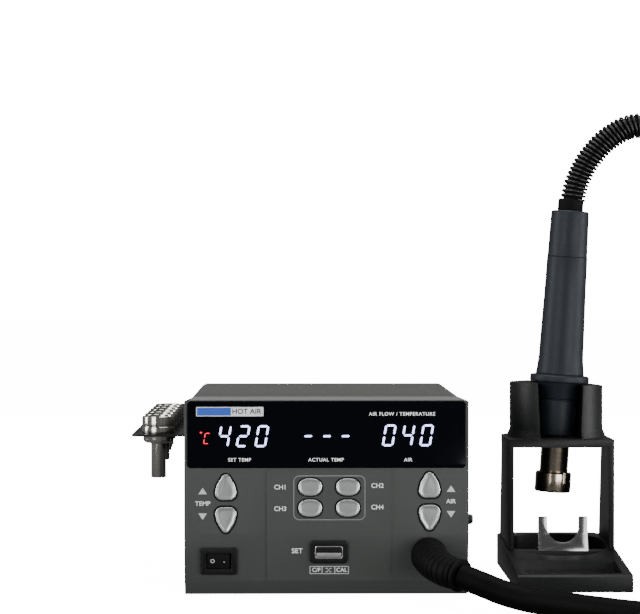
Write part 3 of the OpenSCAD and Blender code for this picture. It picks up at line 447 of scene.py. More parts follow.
def on_faces(obj: Object, out: Vector, work: Callable[[], object]) -> Object:
    """Run operators in edit mode on the many-sided faces that look one way.

    Args:
        obj: The piece.
        out: The way the faces look.
        work: The operators to run.

    Returns:
        The piece.
    """
    pick(obj)
    for face in obj.data.polygons:
        face.select = len(face.vertices) > 8 and face.normal.dot(out) > 0.9
    for part in (obj.data.edges, obj.data.vertices):
        part.foreach_set("select", [False] * len(part))
    for face in obj.data.polygons:
        for index in face.vertices if face.select else ():
            obj.data.vertices[index].select = True
    bpy.ops.object.mode_set(mode="EDIT")
    bpy.ops.mesh.select_mode(type="FACE")
    work()
    bpy.ops.mesh.select_mode(type="VERT")
    bpy.ops.object.mode_set(mode="OBJECT")
    return obj


def named(name: str) -> Object:
    """Name the primitive that was just added.

    Args:
        name: Its name.

    Returns:
        The primitive.
    """
    obj = bpy.context.object
    obj.name = obj.data.name = name
    return obj


def settle(obj: Object, matrix: Matrix | None = None) -> Object:
    """Put a piece in its place and apply the place to its mesh.

    Args:
        obj: The piece.
        matrix: Its place, on top of the one it has; none applies the one it has.

    Returns:
        The piece.
    """
    if matrix is not None:
        obj.matrix_world = matrix @ obj.matrix_world
    pick(obj)
    bpy.ops.object.transform_apply(location=True, rotation=True, scale=True)
    return obj


def modify(obj: Object, kind: str, **values: object) -> Object:
    """Add a modifier, set it and apply it.

    Args:
        obj: The piece.
        kind: The modifier's type.
        **values: Its settings.

    Returns:
        The piece.
    """
    pick(obj)
    modifier = obj.modifiers.new(kind.title(), kind)
    for key, value in values.items():
        setattr(modifier, key, value)
    bpy.ops.object.modifier_apply(modifier=modifier.name)
    return obj


def shade(obj: Object, angle: float) -> Object:
    """Shade a piece smooth, apart from the edges that are sharper than an angle.

    Args:
        obj: The piece.
        angle: The angle, in degrees.

    Returns:
        The piece.
    """
    pick(obj)
    bpy.ops.object.shade_smooth_by_angle(angle=math.radians(angle))
    return obj


def round_edges(obj: Object, width_mm: float, segments: int = 2, angle: float = 32.0) -> Object:
    """Round the edges that are sharper than an angle, then shade the rest smooth.

    Args:
        obj: The piece.
        width_mm: Width of the rounding.
        segments: Steps in the rounding.
        angle: The angle, in degrees.

    Returns:
        The piece.
    """
    modify(obj, "BEVEL", width=width_mm * MM, segments=segments, limit_method="ANGLE",
           angle_limit=math.radians(angle), harden_normals=False, use_clamp_overlap=True)
    return shade(obj, angle)


def block(name: str, size_mm: Point, matrix: Matrix, width_mm: float = 0.3) -> Object:
    """A block with rounded edges that stands on its matrix's XY plane.

    Args:
        name: The block's name.
        size_mm: Its three sides.
        matrix: Where it stands.
        width_mm: Rounding of its edges.

    Returns:
        The block.
    """
    bpy.ops.mesh.primitive_cube_add(size=1, location=(0, 0, size_mm[2] * MM / 2))
    obj = named(name)
    obj.scale = [side * MM for side in size_mm]
    settle(obj)
    settle(obj, matrix)
    return round_edges(obj, width_mm)


def outline_piece(name: str, outline: Iterable[Point], thick_mm: float, matrix: Matrix) -> Object:
    """A plate cut to an outline, standing on its matrix's XY plane.

    Args:
        name: The piece's name.
        outline: Corner points in mm, in order.
        thick_mm: Thickness, out of the plane.
        matrix: Where the plate stands.

    Returns:
        The plate, with sharp edges.
    """
    corners = list(outline)
    bpy.ops.mesh.primitive_circle_add(vertices=len(corners), radius=1, fill_type="NGON")
    obj = named(name)
    for vertex, corner in zip(obj.data.vertices, corners):
        vertex.co = (corner[0] * MM, corner[1] * MM, 0)

    def raise_plate() -> None:
        """Extrude the outline into a plate."""
        bpy.ops.mesh.extrude_region_move(TRANSFORM_OT_translate={"value": (0, 0, thick_mm * MM)})
        bpy.ops.mesh.select_all(action="SELECT")
        bpy.ops.mesh.normals_make_consistent(inside=False)

    edit(obj, raise_plate)
    return settle(obj, matrix)


def round_rect(width: float, height: float, radius: float, steps: int = 8) -> list[tuple[float, float]]:
    """Corner points of a round-cornered rectangle round the origin.

    Args:
        width: Its width in mm.
        height: Its height in mm.
        radius: Its corners' radius in mm.
        steps: Steps in each corner.

    Returns:
        The points, in mm and in order.
    """
    points = []
    for quarter in range(4):
        sign_x = 1 if quarter in (0, 3) else -1
        sign_y = 1 if quarter in (0, 1) else -1
        for step in range(steps + 1):
            turn = math.pi / 2 * (quarter + step / steps)
            points.append((sign_x * (width / 2 - radius) + radius * math.cos(turn),
                           sign_y * (height / 2 - radius) + radius * math.sin(turn)))
    return points


def oval(width: float, height: float, steps: int = 56, power: float = 2.35) -> list[tuple[float, float]]:
    """Corner points of a full-bodied oval round the origin.

    Args:
        width: Its width in mm.
        height: Its height in mm.
        steps: Number of points.
        power: Fullness; 2 is an ellipse.

    Returns:
        The points, in mm and in order.
    """
    points = []
    for step in range(steps):
        turn = math.tau * (step + 0.5) / steps
        side, up = math.cos(turn), math.sin(turn)
        points.append((math.copysign(width / 2 * abs(side) ** (2 / power), side),
                       math.copysign(height / 2 * abs(up) ** (2 / power), up)))
    return points


def lathe(name: str, profile_mm: Sequence[Point], matrix: Matrix, round_mm: float = 0.25,
          steps: int = 96) -> Object:
    """Turn a closed profile round the Z axis, as on a lathe.

    Args:
        name: The piece's name.
        profile_mm: Closed profile as (radius, height) points in mm.
        matrix: Where the turned piece stands.
        round_mm: Rounding of its sharp edges.
        steps: Steps round the axis.

    Returns:
        The turned piece.
    """
    bpy.ops.mesh.primitive_circle_add(vertices=len(profile_mm), radius=1, fill_type="NOTHING")
    obj = named(name)
    for vertex, point in zip(obj.data.vertices, profile_mm):
        vertex.co = (point[0] * MM, 0, point[1] * MM)

    def turn() -> None:
        """Spin the profile and close the seam."""
        bpy.ops.mesh.spin(steps=steps, angle=math.tau, center=(0, 0, 0), axis=(0, 0, 1))
        bpy.ops.mesh.select_all(action="SELECT")
        bpy.ops.mesh.remove_doubles(threshold=1e-6)
        bpy.ops.mesh.normals_make_consistent(inside=False)

    edit(obj, turn)
    return settle(round_edges(obj, round_mm, 2, 28), matrix)


def cut(obj: Object, tool: Object) -> Object:
    """Cut a tool's shape out of a piece, and throw the tool away.

    Args:
        obj: The piece.
        tool: The shape to cut out.

    Returns:
        The piece.
    """
    modify(obj, "BOOLEAN", operation="DIFFERENCE", object=tool, solver="EXACT")
    bpy.data.objects.remove(tool)
    return obj


def ring_piece(name: str, outer: Iterable[Point], inner: Iterable[Point], thick_mm: float,
               spot: Matrix) -> Object:
    """A flat ring between two outlines, standing on its matrix's XY plane.

    Args:
        name: The ring's name.
        outer: Corner points of its outside in mm, in order.
        inner: Corner points of its hole in mm, in order.
        thick_mm: Thickness, out of the plane.
        spot: Where the ring stands.

    Returns:
        The ring, with sharp edges.
    """
    ring = outline_piece(name, outer, thick_mm, spot)
    return cut(ring, outline_piece("ring_tool", inner, 3, spot @ Matrix.Translation((0, 0, -MM))))


def keep_folds(obj: Object, length_mm: float) -> None:
    """Keep long shallow folds crisp and weight the shading towards the large faces.

    Args:
        obj: The piece.
        length_mm: Folds shorter than this stay smooth.
    """
    least, most = SHALLOW_FOLD
    mesh = obj.data
    sides: dict[tuple[int, int], list[Vector]] = {}
    for face in mesh.polygons:
        for pair in face.edge_keys:
            sides.setdefault(pair, []).append(face.normal.copy())
    for edge in mesh.edges:
        normals = sides.get(tuple(sorted(edge.vertices)), [])
        if len(normals) != 2:
            continue
        fold = math.degrees(normals[0].angle(normals[1], 0.0))
        ends = [mesh.vertices[index].co for index in edge.vertices]
        if least < fold < most and (ends[0] - ends[1]).length > length_mm * MM:
            edge.use_edge_sharp = True
    modify(obj, "WEIGHTED_NORMAL", keep_sharp=True, weight=100, mode="FACE_AREA")


def refined(node: str, name: str, key: str, width_mm: float, segments: int = 2,
            fold_mm: float = 0.0) -> Object:
    """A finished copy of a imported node: its triangles merged, its edges rounded.

    Args:
        node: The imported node.
        name: The new piece's name.
        key: Its finish.
        width_mm: Rounding of its edges.
        segments: Steps in the rounding.
        fold_mm: Shallow folds longer than this stay crisp; 0 leaves them all smooth.

    Returns:
        The piece, riding where the node rode and standing for it.
    """
    source = frame["nodes"][node]
    obj = bpy.data.objects.new(name, source.data.copy())
    obj.data.name = name
    bpy.context.scene.collection.objects.link(obj)

    def merge() -> None:
        """Join the loose triangles into whole faces."""
        bpy.ops.mesh.remove_doubles(threshold=2e-6)
        bpy.ops.mesh.dissolve_limited(angle_limit=math.radians(0.6))

    edit(obj, merge)
    if "custom_normal" in obj.data.attributes:
        obj.data.attributes.remove(obj.data.attributes["custom_normal"])
    round_edges(obj, width_mm, segments)
    if fold_mm:
        keep_folds(obj, fold_mm)
    dress(obj, key)
    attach(obj, source["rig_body"])
    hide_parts(node)
    return obj


def lettering(name: str, words: str, height_mm: float, matrix: Matrix, key: str = "print",
              wide: float = 1.0, raise_mm: float = 0.06) -> Object:
    """Flat printed words, centred on a spot of a face.

    Args:
        name: The piece's name.
        words: The words.
        height_mm: Height of a capital letter.
        matrix: The spot on the face.
        key: The print's finish.
        wide: Widening of the letters; 1 leaves them as the font has them.
        raise_mm: Thickness of the print.

    Returns:
        The print, as a mesh.
    """
    bold = height_mm > BOLD_MM
    bpy.ops.object.text_add(location=(0, 0, 0))
    obj = named(name)
    obj.data.body = words
    obj.data.align_x = "CENTER"
    obj.data.align_y = "CENTER"
    obj.data.size = height_mm * MM / CAPITAL
    obj.data.extrude = raise_mm * MM / 2
    obj.data.resolution_u = 4
    obj.data.offset = height_mm * MM * (0.022 if bold else 0.006)
    obj.data.space_character = 1.0 if bold else 1.12
    pick(obj)
    bpy.ops.object.convert(target="MESH")
    obj.scale = (wide, 1, 1)
    settle(obj, matrix)
    return dress(obj, key)


def tube_mesh(name: str, centres: Sequence[Vector], radii: Sequence[float], sides: int) -> Object:
    """A closed round tube whose rings stand on the given centres.

    Args:
        name: The tube's name.
        centres: The rings' centres, in metres.
        radii: The rings' radii, in metres.
        sides: Number of points in a ring.

    Returns:
        The tube, shaded smooth.
    """
    count = len(centres)
    upright = abs((centres[1] - centres[0]).normalized().z) >= 0.9
    side = Vector((0, 1, 0)) if upright else Vector((0, 0, 1))
    points: list[Vector] = []
    for i, centre in enumerate(centres):
        ahead = (centres[min(i + 1, count - 1)] - centres[max(i - 1, 0)]).normalized()
        side = (side - side.dot(ahead) * ahead).normalized()
        across = ahead.cross(side)
        for k in range(sides):
            turn = math.tau * k / sides
            points.append(centre + radii[i] * (math.cos(turn) * side + math.sin(turn) * across))
    faces = [(i * sides + k, i * sides + (k + 1) % sides, (i + 1) * sides + (k + 1) % sides,
              (i + 1) * sides + k) for i in range(count - 1) for k in range(sides)]
    faces.append(tuple(reversed(range(sides))))
    faces.append(tuple((count - 1) * sides + k for k in range(sides)))
    mesh = bpy.data.meshes.new(name)
    mesh.from_pydata([tuple(p) for p in points], [], faces)
    obj = bpy.data.objects.new(name, mesh)
    bpy.context.scene.collection.objects.link(obj)
    edit(obj, lambda: bpy.ops.mesh.normals_make_consistent(inside=False))
    return shade(obj, 40)


def smooth_path(route: Sequence[Point], spacing_mm: float) -> list[Vector]:
    """Evenly spaced points on the smooth curve through a route.

    Args:
        route: Points of the route in mm, in the unit's own frame.
        spacing_mm: Distance from one point to the next.

    Returns:
        The points, in metres, in the part's frame.
    """
    steps = 24
    knots = [Vector(p) for p in route]
    last = len(knots) - 1
    dense: list[Vector] = []
    for i in range(last):
        a, b = knots[i], knots[i + 1]
        ta = (b - knots[max(i - 1, 0)]) / (1 if i == 0 else 2)
        tb = (knots[min(i + 2, last)] - a) / (1 if i + 1 == last else 2)
        for step in range(steps):
            t = step / steps
            dense.append((2 * t**3 - 3 * t * t + 1) * a + (t**3 - 2 * t * t + t) * ta
                         + (3 * t * t - 2 * t**3) * b + (t**3 - t * t) * tb)
    dense.append(knots[-1])
    walked = [0.0]
    for a, b in zip(dense, dense[1:]):
        walked.append(walked[-1] + (b - a).length)
    count = max(2, round(walked[-1] / spacing_mm))
    marks = np.linspace(0, walked[-1], count + 1)
    axes = [np.interp(marks, walked, [p[k] for p in dense]) for k in range(3)]
    return [places.unit((x, y, z)) for x, y, z in zip(*axes)]


places = Places.measure()


# ---------------------------------------------------------------- camera and light


@dataclass(frozen=True)
class Studio:
    """Camera, pale floor and soft lights."""

    eye_mm: tuple[float, float, float] = (-21.0, -1500.0, 213.5)
    focal_px: float = 2250.0
    frame_px: tuple[int, int] = (640, 614)
    vanishing_px: tuple[float, float] = (295.0, 280.0)
    sensor_mm: float = 36.0
    aim_mm: tuple[float, float, float] = (30.0, 80.0, 90.0)

    def add_camera(self) -> None:
        """Add the camera, level and turned as the vanishing point asks."""
        data = bpy.data.cameras.new("camera")
        data.sensor_width = self.sensor_mm
        data.lens = self.focal_px / self.frame_px[0] * self.sensor_mm
        data.clip_start, data.clip_end = 0.05, 30.0
        camera = bpy.data.objects.new("camera", data)
        bpy.context.scene.collection.objects.link(camera)
        yaw = math.atan((self.frame_px[0] / 2 - self.vanishing_px[0]) / self.focal_px)
        pitch = math.atan((self.frame_px[1] / 2 - self.vanishing_px[1]) / self.focal_px)
        camera.location = places.unit(self.eye_mm)
        camera.rotation_euler = (math.pi / 2 - pitch, 0, -yaw)
        bpy.context.scene.camera = camera

    def add_floor(self) -> None:
        """Add the pale bench top, which only shows to the camera."""
        bpy.ops.mesh.primitive_plane_add(size=22)
        floor = dress(named("studio_floor"), "floor")
        floor.visible_glossy = False
        floor.visible_diffuse = False
        floor.visible_shadow = False

    def add_backdrop(self) -> None:
        """Add the pale surround behind everything, lit by itself."""
        bpy.ops.mesh.primitive_ico_sphere_add(subdivisions=4, radius=10.5)
        dome = dress(named("studio_backdrop"), "backdrop")
        dome.visible_glossy = False
        dome.visible_diffuse = False
        dome.visible_shadow = False
        dome.visible_transmission = False

    def add_light(self, name: str, at_mm: Point, size: Point, watts: float,
                  aim_mm: Point | None = None) -> Object:
        """Add a soft rectangular light.

        Args:
            name: The light's name.
            at_mm: Where it stands, in the unit's own frame.
            size: Its two sides, in metres.
            watts: Its power.
            aim_mm: The spot it faces; the middle of the scene if left out.

        Returns:
            The light.
        """
        data = bpy.data.lights.new(name, "AREA")
        data.shape = "RECTANGLE"
        data.size, data.size_y = size
        data.energy = watts
        light = bpy.data.objects.new(name, data)
        bpy.context.scene.collection.objects.link(light)
        light.location = places.unit(at_mm)
        way = places.unit(aim_mm or self.aim_mm) - places.unit(at_mm)
        light.rotation_euler = way.to_track_quat("-Z", "Y").to_euler()
        return light

    def add_sky(self) -> None:
        """Light the scene evenly and dimly from all round."""
        world = bpy.data.worlds.new("studio")
        bpy.context.scene.world = world
        world.use_nodes = True
        background = world.node_tree.nodes["Background"]
        background.inputs["Color"].default_value = (1, 1, 1, 1)
        background.inputs["Strength"].default_value = 0.2

    def build(self) -> None:
        """Add the floor, backdrop, sky and lights."""
        self.add_floor()
        self.add_backdrop()
        self.add_sky()
        self.add_light("soft_top", (20, 60, 1700), (1.7, 1.4), 34)
        self.add_light("soft_front_left", (-980, -1480, 320), (0.8, 1.3), 23)
        self.add_light("soft_front_right", (850, -900, 110), (0.85, 0.6), 13, (170, 120, 90))
        rear = self.add_light("soft_rear", (-200, 1900, 500), (1.4, 0.8), 16)
        rear.visible_glossy = False
        self.add_light("strip_left", (-1500, 100, 500), (0.4, 1.2), 18)
        self.add_light("strip_right", (1500, 0, 500), (0.4, 1.2), 18)


# ---------------------------------------------------------------- hose


@dataclass
class HoseLine:
    """The rubber hose, its boot on the unit and the coil spring at the handle."""

    diameter_mm: float = 16.5
    sides: int = 32
    route: tuple[Point, ...] = (
        (86, -46, 22), (100, -52, 17), (114, -57, 12), (130, -66, 8.8), (148, -82, 8.4),
        (168, -104, 8.4), (190, -124, 8.4), (216, -142, 8.4), (246, -154, 8.4), (280, -160, 8.4),
        (316, -156, 8.4), (348, -140, 8.4), (372, -114, 8.4), (388, -82, 8.4), (396, -46, 8.4),
        (398, -8, 8.6), (394, 28, 11), (386, 62, 19), (375, 94, 37), (364, 120, 66),
        (356, 138, 104), (352, 146, 148), (349, 147, 194), (341, 147, 238), (325, 147, 276),
        (301, 147, 304), (272, 147, 321), (246, 147, 326.5), (233, 147, 326.5),
    )
    guard_route: tuple[Point, ...] = (
        (232, 147, 326.5), (228, 147, 326.3), (219.6, 147, 324), (207, 147, 316), (197.4, 147, 306),
        (190, 147, 295), (184.8, 147, 283), (182.1, 147, 271), (181, 147, 263.5),
    )
    boot_route: tuple[Point, ...] = (
        (68.5, -1, 29.6), (69, -9, 28.6), (70.4, -19, 27.2), (73.4, -29.5, 25.6), (78.6, -38.6, 23.8),
        (86.6, -46.6, 21.9),
    )
    wire_mm: float = 1.9
    wire_pitch_mm: float = 3.1
    spring_mm: float = 18.6
    neck_mm: float = 14.2
    boot_root_mm: float = 11.4
    boot_taper_mm: float = 2.0
    rib_mm: float = 0.75
    lift_off: int = 17  # the route's point where the hose leaves the bench
    cap_steps: int = 18  # axis points that the end cap hides, without a coil round them

    def build(self) -> None:
        boot = self.build_boot()
        spring = self.build_spring()
        sleeve = dress(lathe("hose_sleeve", [(8.4, 163.8), (9.35, 163.8), (9.25, 172.4), (8.7, 173.2),
                                             (8.4, 173.2)], places.handle(), 0.3), "rubber")
        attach(sleeve, "handle")
        centres = smooth_path(self.route + self.guard_route[1:], 4.0)
        guard_start = len(smooth_path(self.route, 4.0))
        full, neck = self.diameter_mm / 2, self.neck_mm / 2
        radii = [MM * (full - (full - neck) * min(1, max(0, (i - guard_start + 4) / 6)))
                 for i in range(len(centres))]
        hose = dress(tube_mesh("air_hose", centres, radii, self.sides), "hose")
        bottom, top = places.unit(self.route[self.lift_off]), places.unit(self.guard_route[0])
        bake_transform(hose)
        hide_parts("hose")

    def build_boot(self) -> Object:
        """Make the ribbed rubber boot at the front panel.

        Returns:
            The boot.
        """
        centres = smooth_path(self.boot_route, 0.6)
        last = len(centres) - 1
        radii = []
        for i in range(last + 1):
            along = i / last
            core = self.boot_root_mm - self.boot_taper_mm * along
            rib = self.rib_mm if 0.1 < along < 0.93 and (i % 7) < 4 else 0.0
            lip = 1.4 if along >= 0.95 else (0.9 if along < 0.07 else 0.0)
            radii.append((core + rib + lip) * MM)
        boot = tube_mesh("ribbed_boot", centres, radii, 48)
        round_edges(boot, 0.25, 2, 50)
        dress(boot, "rubber")
        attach(boot, "unit")
        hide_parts("hose_boot")
        return boot

    def build_spring(self) -> Object:
        """Wind the coil spring round the end of the hose.

        Returns:
            The spring.
        """
        spacing, per_turn = 0.5, 22
        axis = smooth_path(self.guard_route, spacing)[:-self.cap_steps]
        turns = spacing * (len(axis) - 1) / self.wire_pitch_mm
        count = int(turns * per_turn)
        radius = (self.spring_mm - self.wire_mm) / 2 * MM
        side = Vector((0, 1, 0))
        coil = []
        for i in range(count + 1):
            place = i / count * (len(axis) - 1)
            k = min(int(place), len(axis) - 2)
            at = axis[k].lerp(axis[k + 1], place - k)
            ahead = (axis[min(k + 2, len(axis) - 1)] - axis[max(k - 1, 0)]).normalized()
            side = (side - side.dot(ahead) * ahead).normalized()
            turn = math.tau * i / per_turn
            coil.append(at + radius * (math.cos(turn) * side + math.sin(turn) * ahead.cross(side)))
        spring = tube_mesh("coil_spring", coil, [self.wire_mm / 2 * MM] * len(coil), 10)
        dress(spring, "wire")
        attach(spring, "handle")
        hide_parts("spring_guard")
        return spring


# ---------------------------------------------------------------- control unit


@dataclass
class FrontPanel:
    """Bezel, display, keys, switch and the printed marks."""

    glass_out: float = -0.2
    digit_mm: float = 14.6
    digit_half: float = 3.15
    digit_pitch: float = 12.5
    slant: float = 0.17
    segment_mm: float = 1.35
    arrow_size: tuple[float, float] = (14.2, 17.0)
    temp_keys: tuple[float, float, float] = (-67.2, 66.8, 62.0)
    air_keys: tuple[float, float, float] = (68.8, 68.2, 63.4)
    channel_x: tuple[float, float] = (-10.9, 14.3)
    channel_z: tuple[float, float] = (75.5, 61.4)
    set_spot: tuple[float, float] = (1.6, 32.2)
    legend_z: float = 19.6
    label_mm: float = 2.9
    rocker_spot: tuple[float, float] = (-72, 25.8)
    rocker_turn: float = math.radians(7)
    rocker_slope: float = math.atan(1.1 / 7.5)
    pieces: list[Object] = field(default_factory=list)

    SEGMENTS: ClassVar[dict[str, str]] = {"0": "abcdef", "2": "abged", "4": "fgbc", "-": "g", "C": "adef"}

    def build(self) -> None:
        """Make the whole panel."""
        refined("front_bezel", "bezel", "bezel", 0.45, 2, 8.0)
        self.build_window()
        self.build_digits()
        self.build_keys()
        self.build_set_key()
        self.build_switch()
        self.build_marks()
        for piece in self.pieces:
            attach(piece, "unit")

    def build_window(self) -> None:
        """Make the smoked window with its softly rounded rim."""
        window = refined("display_window", "window", "window", 0.35, 3)

    def digit_outline(self, segment: str) -> list[tuple[float, float]]:
        """Pointed bar of a seven-segment digit, slanted, round the digit's middle.

        Args:
            segment: The segment's letter, from a to g.

        Returns:
            Corner points in mm, in order.
        """
        tall, thick, wide = self.digit_mm / 2, self.segment_mm / 2, self.digit_half
        spots = {"a": (0, tall - thick, 0), "g": (0, 0, 0), "d": (0, -tall + thick, 0),
                 "b": (wide, tall / 2, 1), "c": (wide, -tall / 2, 1), "f": (-wide, tall / 2, 1),
                 "e": (-wide, -tall / 2, 1)}
        x, z, upright = spots[segment]
        half = (tall - thick) / 2 - 0.35 if upright else wide - 0.35
        bar = [(-half, 0), (-half + thick, thick), (half - thick, thick), (half, 0),
               (half - thick, -thick), (-half + thick, -thick)]
        turned = [(-v, u) if upright else (u, v) for u, v in bar]
        return [(x + u + (z + v) * self.slant, z + v) for u, v in turned]

    def add_digit(self, name: str, symbol: str, x: float, z: float, key: str, size: float = 1.0) -> None:
        """Light the segments of one digit in front of the window.

        Args:
            name: Start of the segments' names.
            symbol: The symbol shown, a key of SEGMENTS.
            x: Its middle across the face, in mm.
            z: Its middle above the bench, in mm.
            key: The light's finish.
            size: Its size as a share of a full digit.
        """
        for segment in self.SEGMENTS[symbol]:
            outline = [(u * size, v * size) for u, v in self.digit_outline(segment)]
            bar = outline_piece(f"{name}_{segment}", outline, 0.08,
                                places.face(x, z, self.glass_out))
            self.pieces.append(dress(bar, key))

    def build_digits(self) -> None:
        """Show 420 degrees, three dashes and 040."""
        shown = {"set": ("420", -55.6, 109.3), "actual": ("---", 0.3, 109.3),
                 "flow": ("040", 54.4, 109.8)}
        for name, (symbols, x, z) in shown.items():
            for i, symbol in enumerate(symbols):
                at = x + (i - 1) * self.digit_pitch
                size = 0.95 if symbol == "-" else 1
                self.add_digit(f"led_{name}_{i}", symbol, at, z, "led_blue", size)
        self.add_digit("led_degree_c", "C", -79.8, 107.8, "led_red", 0.52)
        ring = outline_piece("led_degree_ring", round_rect(1.6, 1.1, 0.5, 3), 0.08,
                             places.face(-83.7, 111.7, self.glass_out))
        self.pieces.append(dress(ring, "led_red"))
        # The captions are print; their faint glow is painted light.
        for name, words, x in (("set", "SET TEMP", -58.0), ("actual", "ACTUAL TEMP", -0.3),
                               ("flow", "AIR", 54.5)):
            self.pieces.append(lettering(f"caption_{name}", words, 2.3,
                                         places.face(x, 93.4, self.glass_out), "caption", 1.05))

    def arrow_outline(self, grow: float, up: bool) -> list[tuple[float, float]]:
        """Outline of an arrow key: a point at one end, a shallow curve at the other.

        Args:
            grow: Distance that the outline stands outside the key's own, in mm.
            up: True for a key that points up.

        Returns:
            Corner points in mm, in order.
        """
        width, height = self.arrow_size
        base, tip = 4.6, 3.0
        shapes = [((0, height - tip), tip), ((width / 2 - base, base), base),
                  ((-width / 2 + base, base), base), ((0, height * 0.47), width / 2 - 0.9)]
        steps = 56
        reaches = []
        for step in range(steps):
            turn = math.tau * step / steps
            across, along = math.cos(turn), math.sin(turn)
            reach = max(c[0] * across + c[1] * along + r + grow for c, r in shapes)
            reaches.append((turn, reach))
        outline = []
        for (t0, r0), (t1, r1) in zip(reaches, reaches[1:] + reaches[:1]):
            det = math.sin(t1 - t0)
            x = (r0 * math.sin(t1) - r1 * math.sin(t0)) / det
            y = (r1 * math.cos(t0) - r0 * math.cos(t1)) / det
            outline.append((x, y if up else -y))
        return outline if up else list(reversed(outline))

    def key_cap(self, name: str, outline: list[tuple[float, float]], proud: float, matrix: Matrix,
                rim: float) -> Object:
        """A key with a dished satin face and a rounded rim painted lighter, as a painted highlight.

        Args:
            name: The key's name.
            outline: Corner points in mm, in order.
            proud: How far the key stands out of the face, in mm.
            matrix: Its place on the face.
            rim: Width of the rim that carries the painted highlight, in mm.

        Returns:
            The key.
        """
        cap = outline_piece(name, outline, 4.0 + proud, matrix @ Matrix.Translation((0, 0, -4 * MM)))
        # The rim's lighter silver is a painted highlight; the satin face keeps the key's own colour.
        dress(cap, "key_rim")
        cap.data.materials.append(finish("key_face"))
        cap.active_material_index = 1
        out = (matrix.to_3x3() @ Vector((0, 0, 1))).normalized()

        def dish() -> None:
            """Inset the top, give its middle the satin finish and sink it."""
            bpy.ops.mesh.inset(thickness=rim * MM, depth=0)
            bpy.ops.object.material_slot_assign()
            bpy.ops.mesh.inset(thickness=0.5 * MM, depth=-0.28 * MM)
            bpy.ops.mesh.inset(thickness=1.5 * MM, depth=0.14 * MM)

        on_faces(cap, out, lambda: bpy.ops.mesh.bevel(offset=0.45 * MM, segments=3, affect="EDGES"))
        on_faces(cap, out, dish)
        return shade(cap, 50)

    def build_keys(self) -> None:
        """Make the four arrow keys and the four channel keys, each with a flat dark ring of painted shadow
        round it.
        """
        for side, keys in (("temp", self.temp_keys), ("air", self.air_keys)):
            for way, z in (("up", keys[1]), ("down", keys[2])):
                up = way == "up"
                spot = places.face(keys[0], z)
                cap = self.key_cap(f"{side}_{way}_cap", self.arrow_outline(0, up), 1.5, spot, 0.7)
                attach(cap, f"{side}_{way}_key")
                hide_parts(f"{side}_{way}_key")
                self.add_surround(f"{side}_{way}", self.arrow_outline(1.15, up),
                                  self.arrow_outline(0.3, up), spot)
        spots = [(x, z) for z in self.channel_z for x in self.channel_x]
        for i, (x, z) in enumerate(spots, 1):
            spot = places.face(x, z)
            cap = self.key_cap(f"channel_cap_{i}", oval(15.7, 11.5), 2.3, spot, 0.6)
            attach(cap, f"channel_key_{i}")
            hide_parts(f"channel_key_{i}")
            self.add_surround(f"channel_{i}", oval(17.6, 13.3), oval(16.3, 12.1),
                              places.face(x, z, places.panel_proud))

    def add_surround(self, name: str, outer: list[Point], inner: list[Point], spot: Matrix) -> None:
        """Lay a thin flat dark ring round the hole of a key, as painted shadow in the gap.

        Args:
            name: The key's name.
            outer: Corner points of the ring's outside in mm, in order.
            inner: Corner points of its hole in mm, in order.
            spot: Its place on the face.
        """
        lip = ring_piece(f"{name}_surround", outer, inner, 0.35, spot)
        # The ring's near-black colour is painted shadow round the key.
        self.pieces.append(dress(round_edges(lip, 0.12, 2), "gap"))

    def build_set_key(self) -> None:
        """Dress the SET key and its surround."""
        refined("set_surround", "set_key_surround", "black", 0.4, 3)
        cap = refined("set_key", "set_key_cap", "black", 0.3, 3)
        x, z = self.set_spot
        top = 2.45
        trim = ring_piece("set_key_frame", round_rect(18.6, 8.6, 1.5), round_rect(17.4, 7.4, 1.0), 0.5,
                          places.lower_face(x, z, top))
        self.pieces.append(dress(round_edges(trim, 0.15, 2), "chrome"))
        half = outline_piece("set_key_lower_half", round_rect(16.4, 3.2, 0.8), 0.5,
                             places.lower_face(x, z - 1.9, top))
        self.pieces.append(dress(round_edges(half, 0.2, 2), "key_face"))

    def build_switch(self) -> None:
        """Dress the rocker switch and print its two marks."""
        refined("switch_housing", "switch_frame", "black", 0.35, 3)
        refined("power_rocker", "rocker_cap", "gap", 0.3, 3)
        middle = places.lower_face(*self.rocker_spot) @ Matrix.Rotation(-self.rocker_turn, 4, "Y")
        for name, side, words in (("off", -1, "O"), ("on", 1, "-")):
            slope = Matrix.Rotation(-side * self.rocker_slope, 4, "Y")
            spot = middle @ Matrix.Translation((side * 3.9 * MM, 0, 1.9 * MM)) @ slope
            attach(lettering(f"rocker_mark_{name}", words, 2.6, spot, "print_dim"), "rocker")

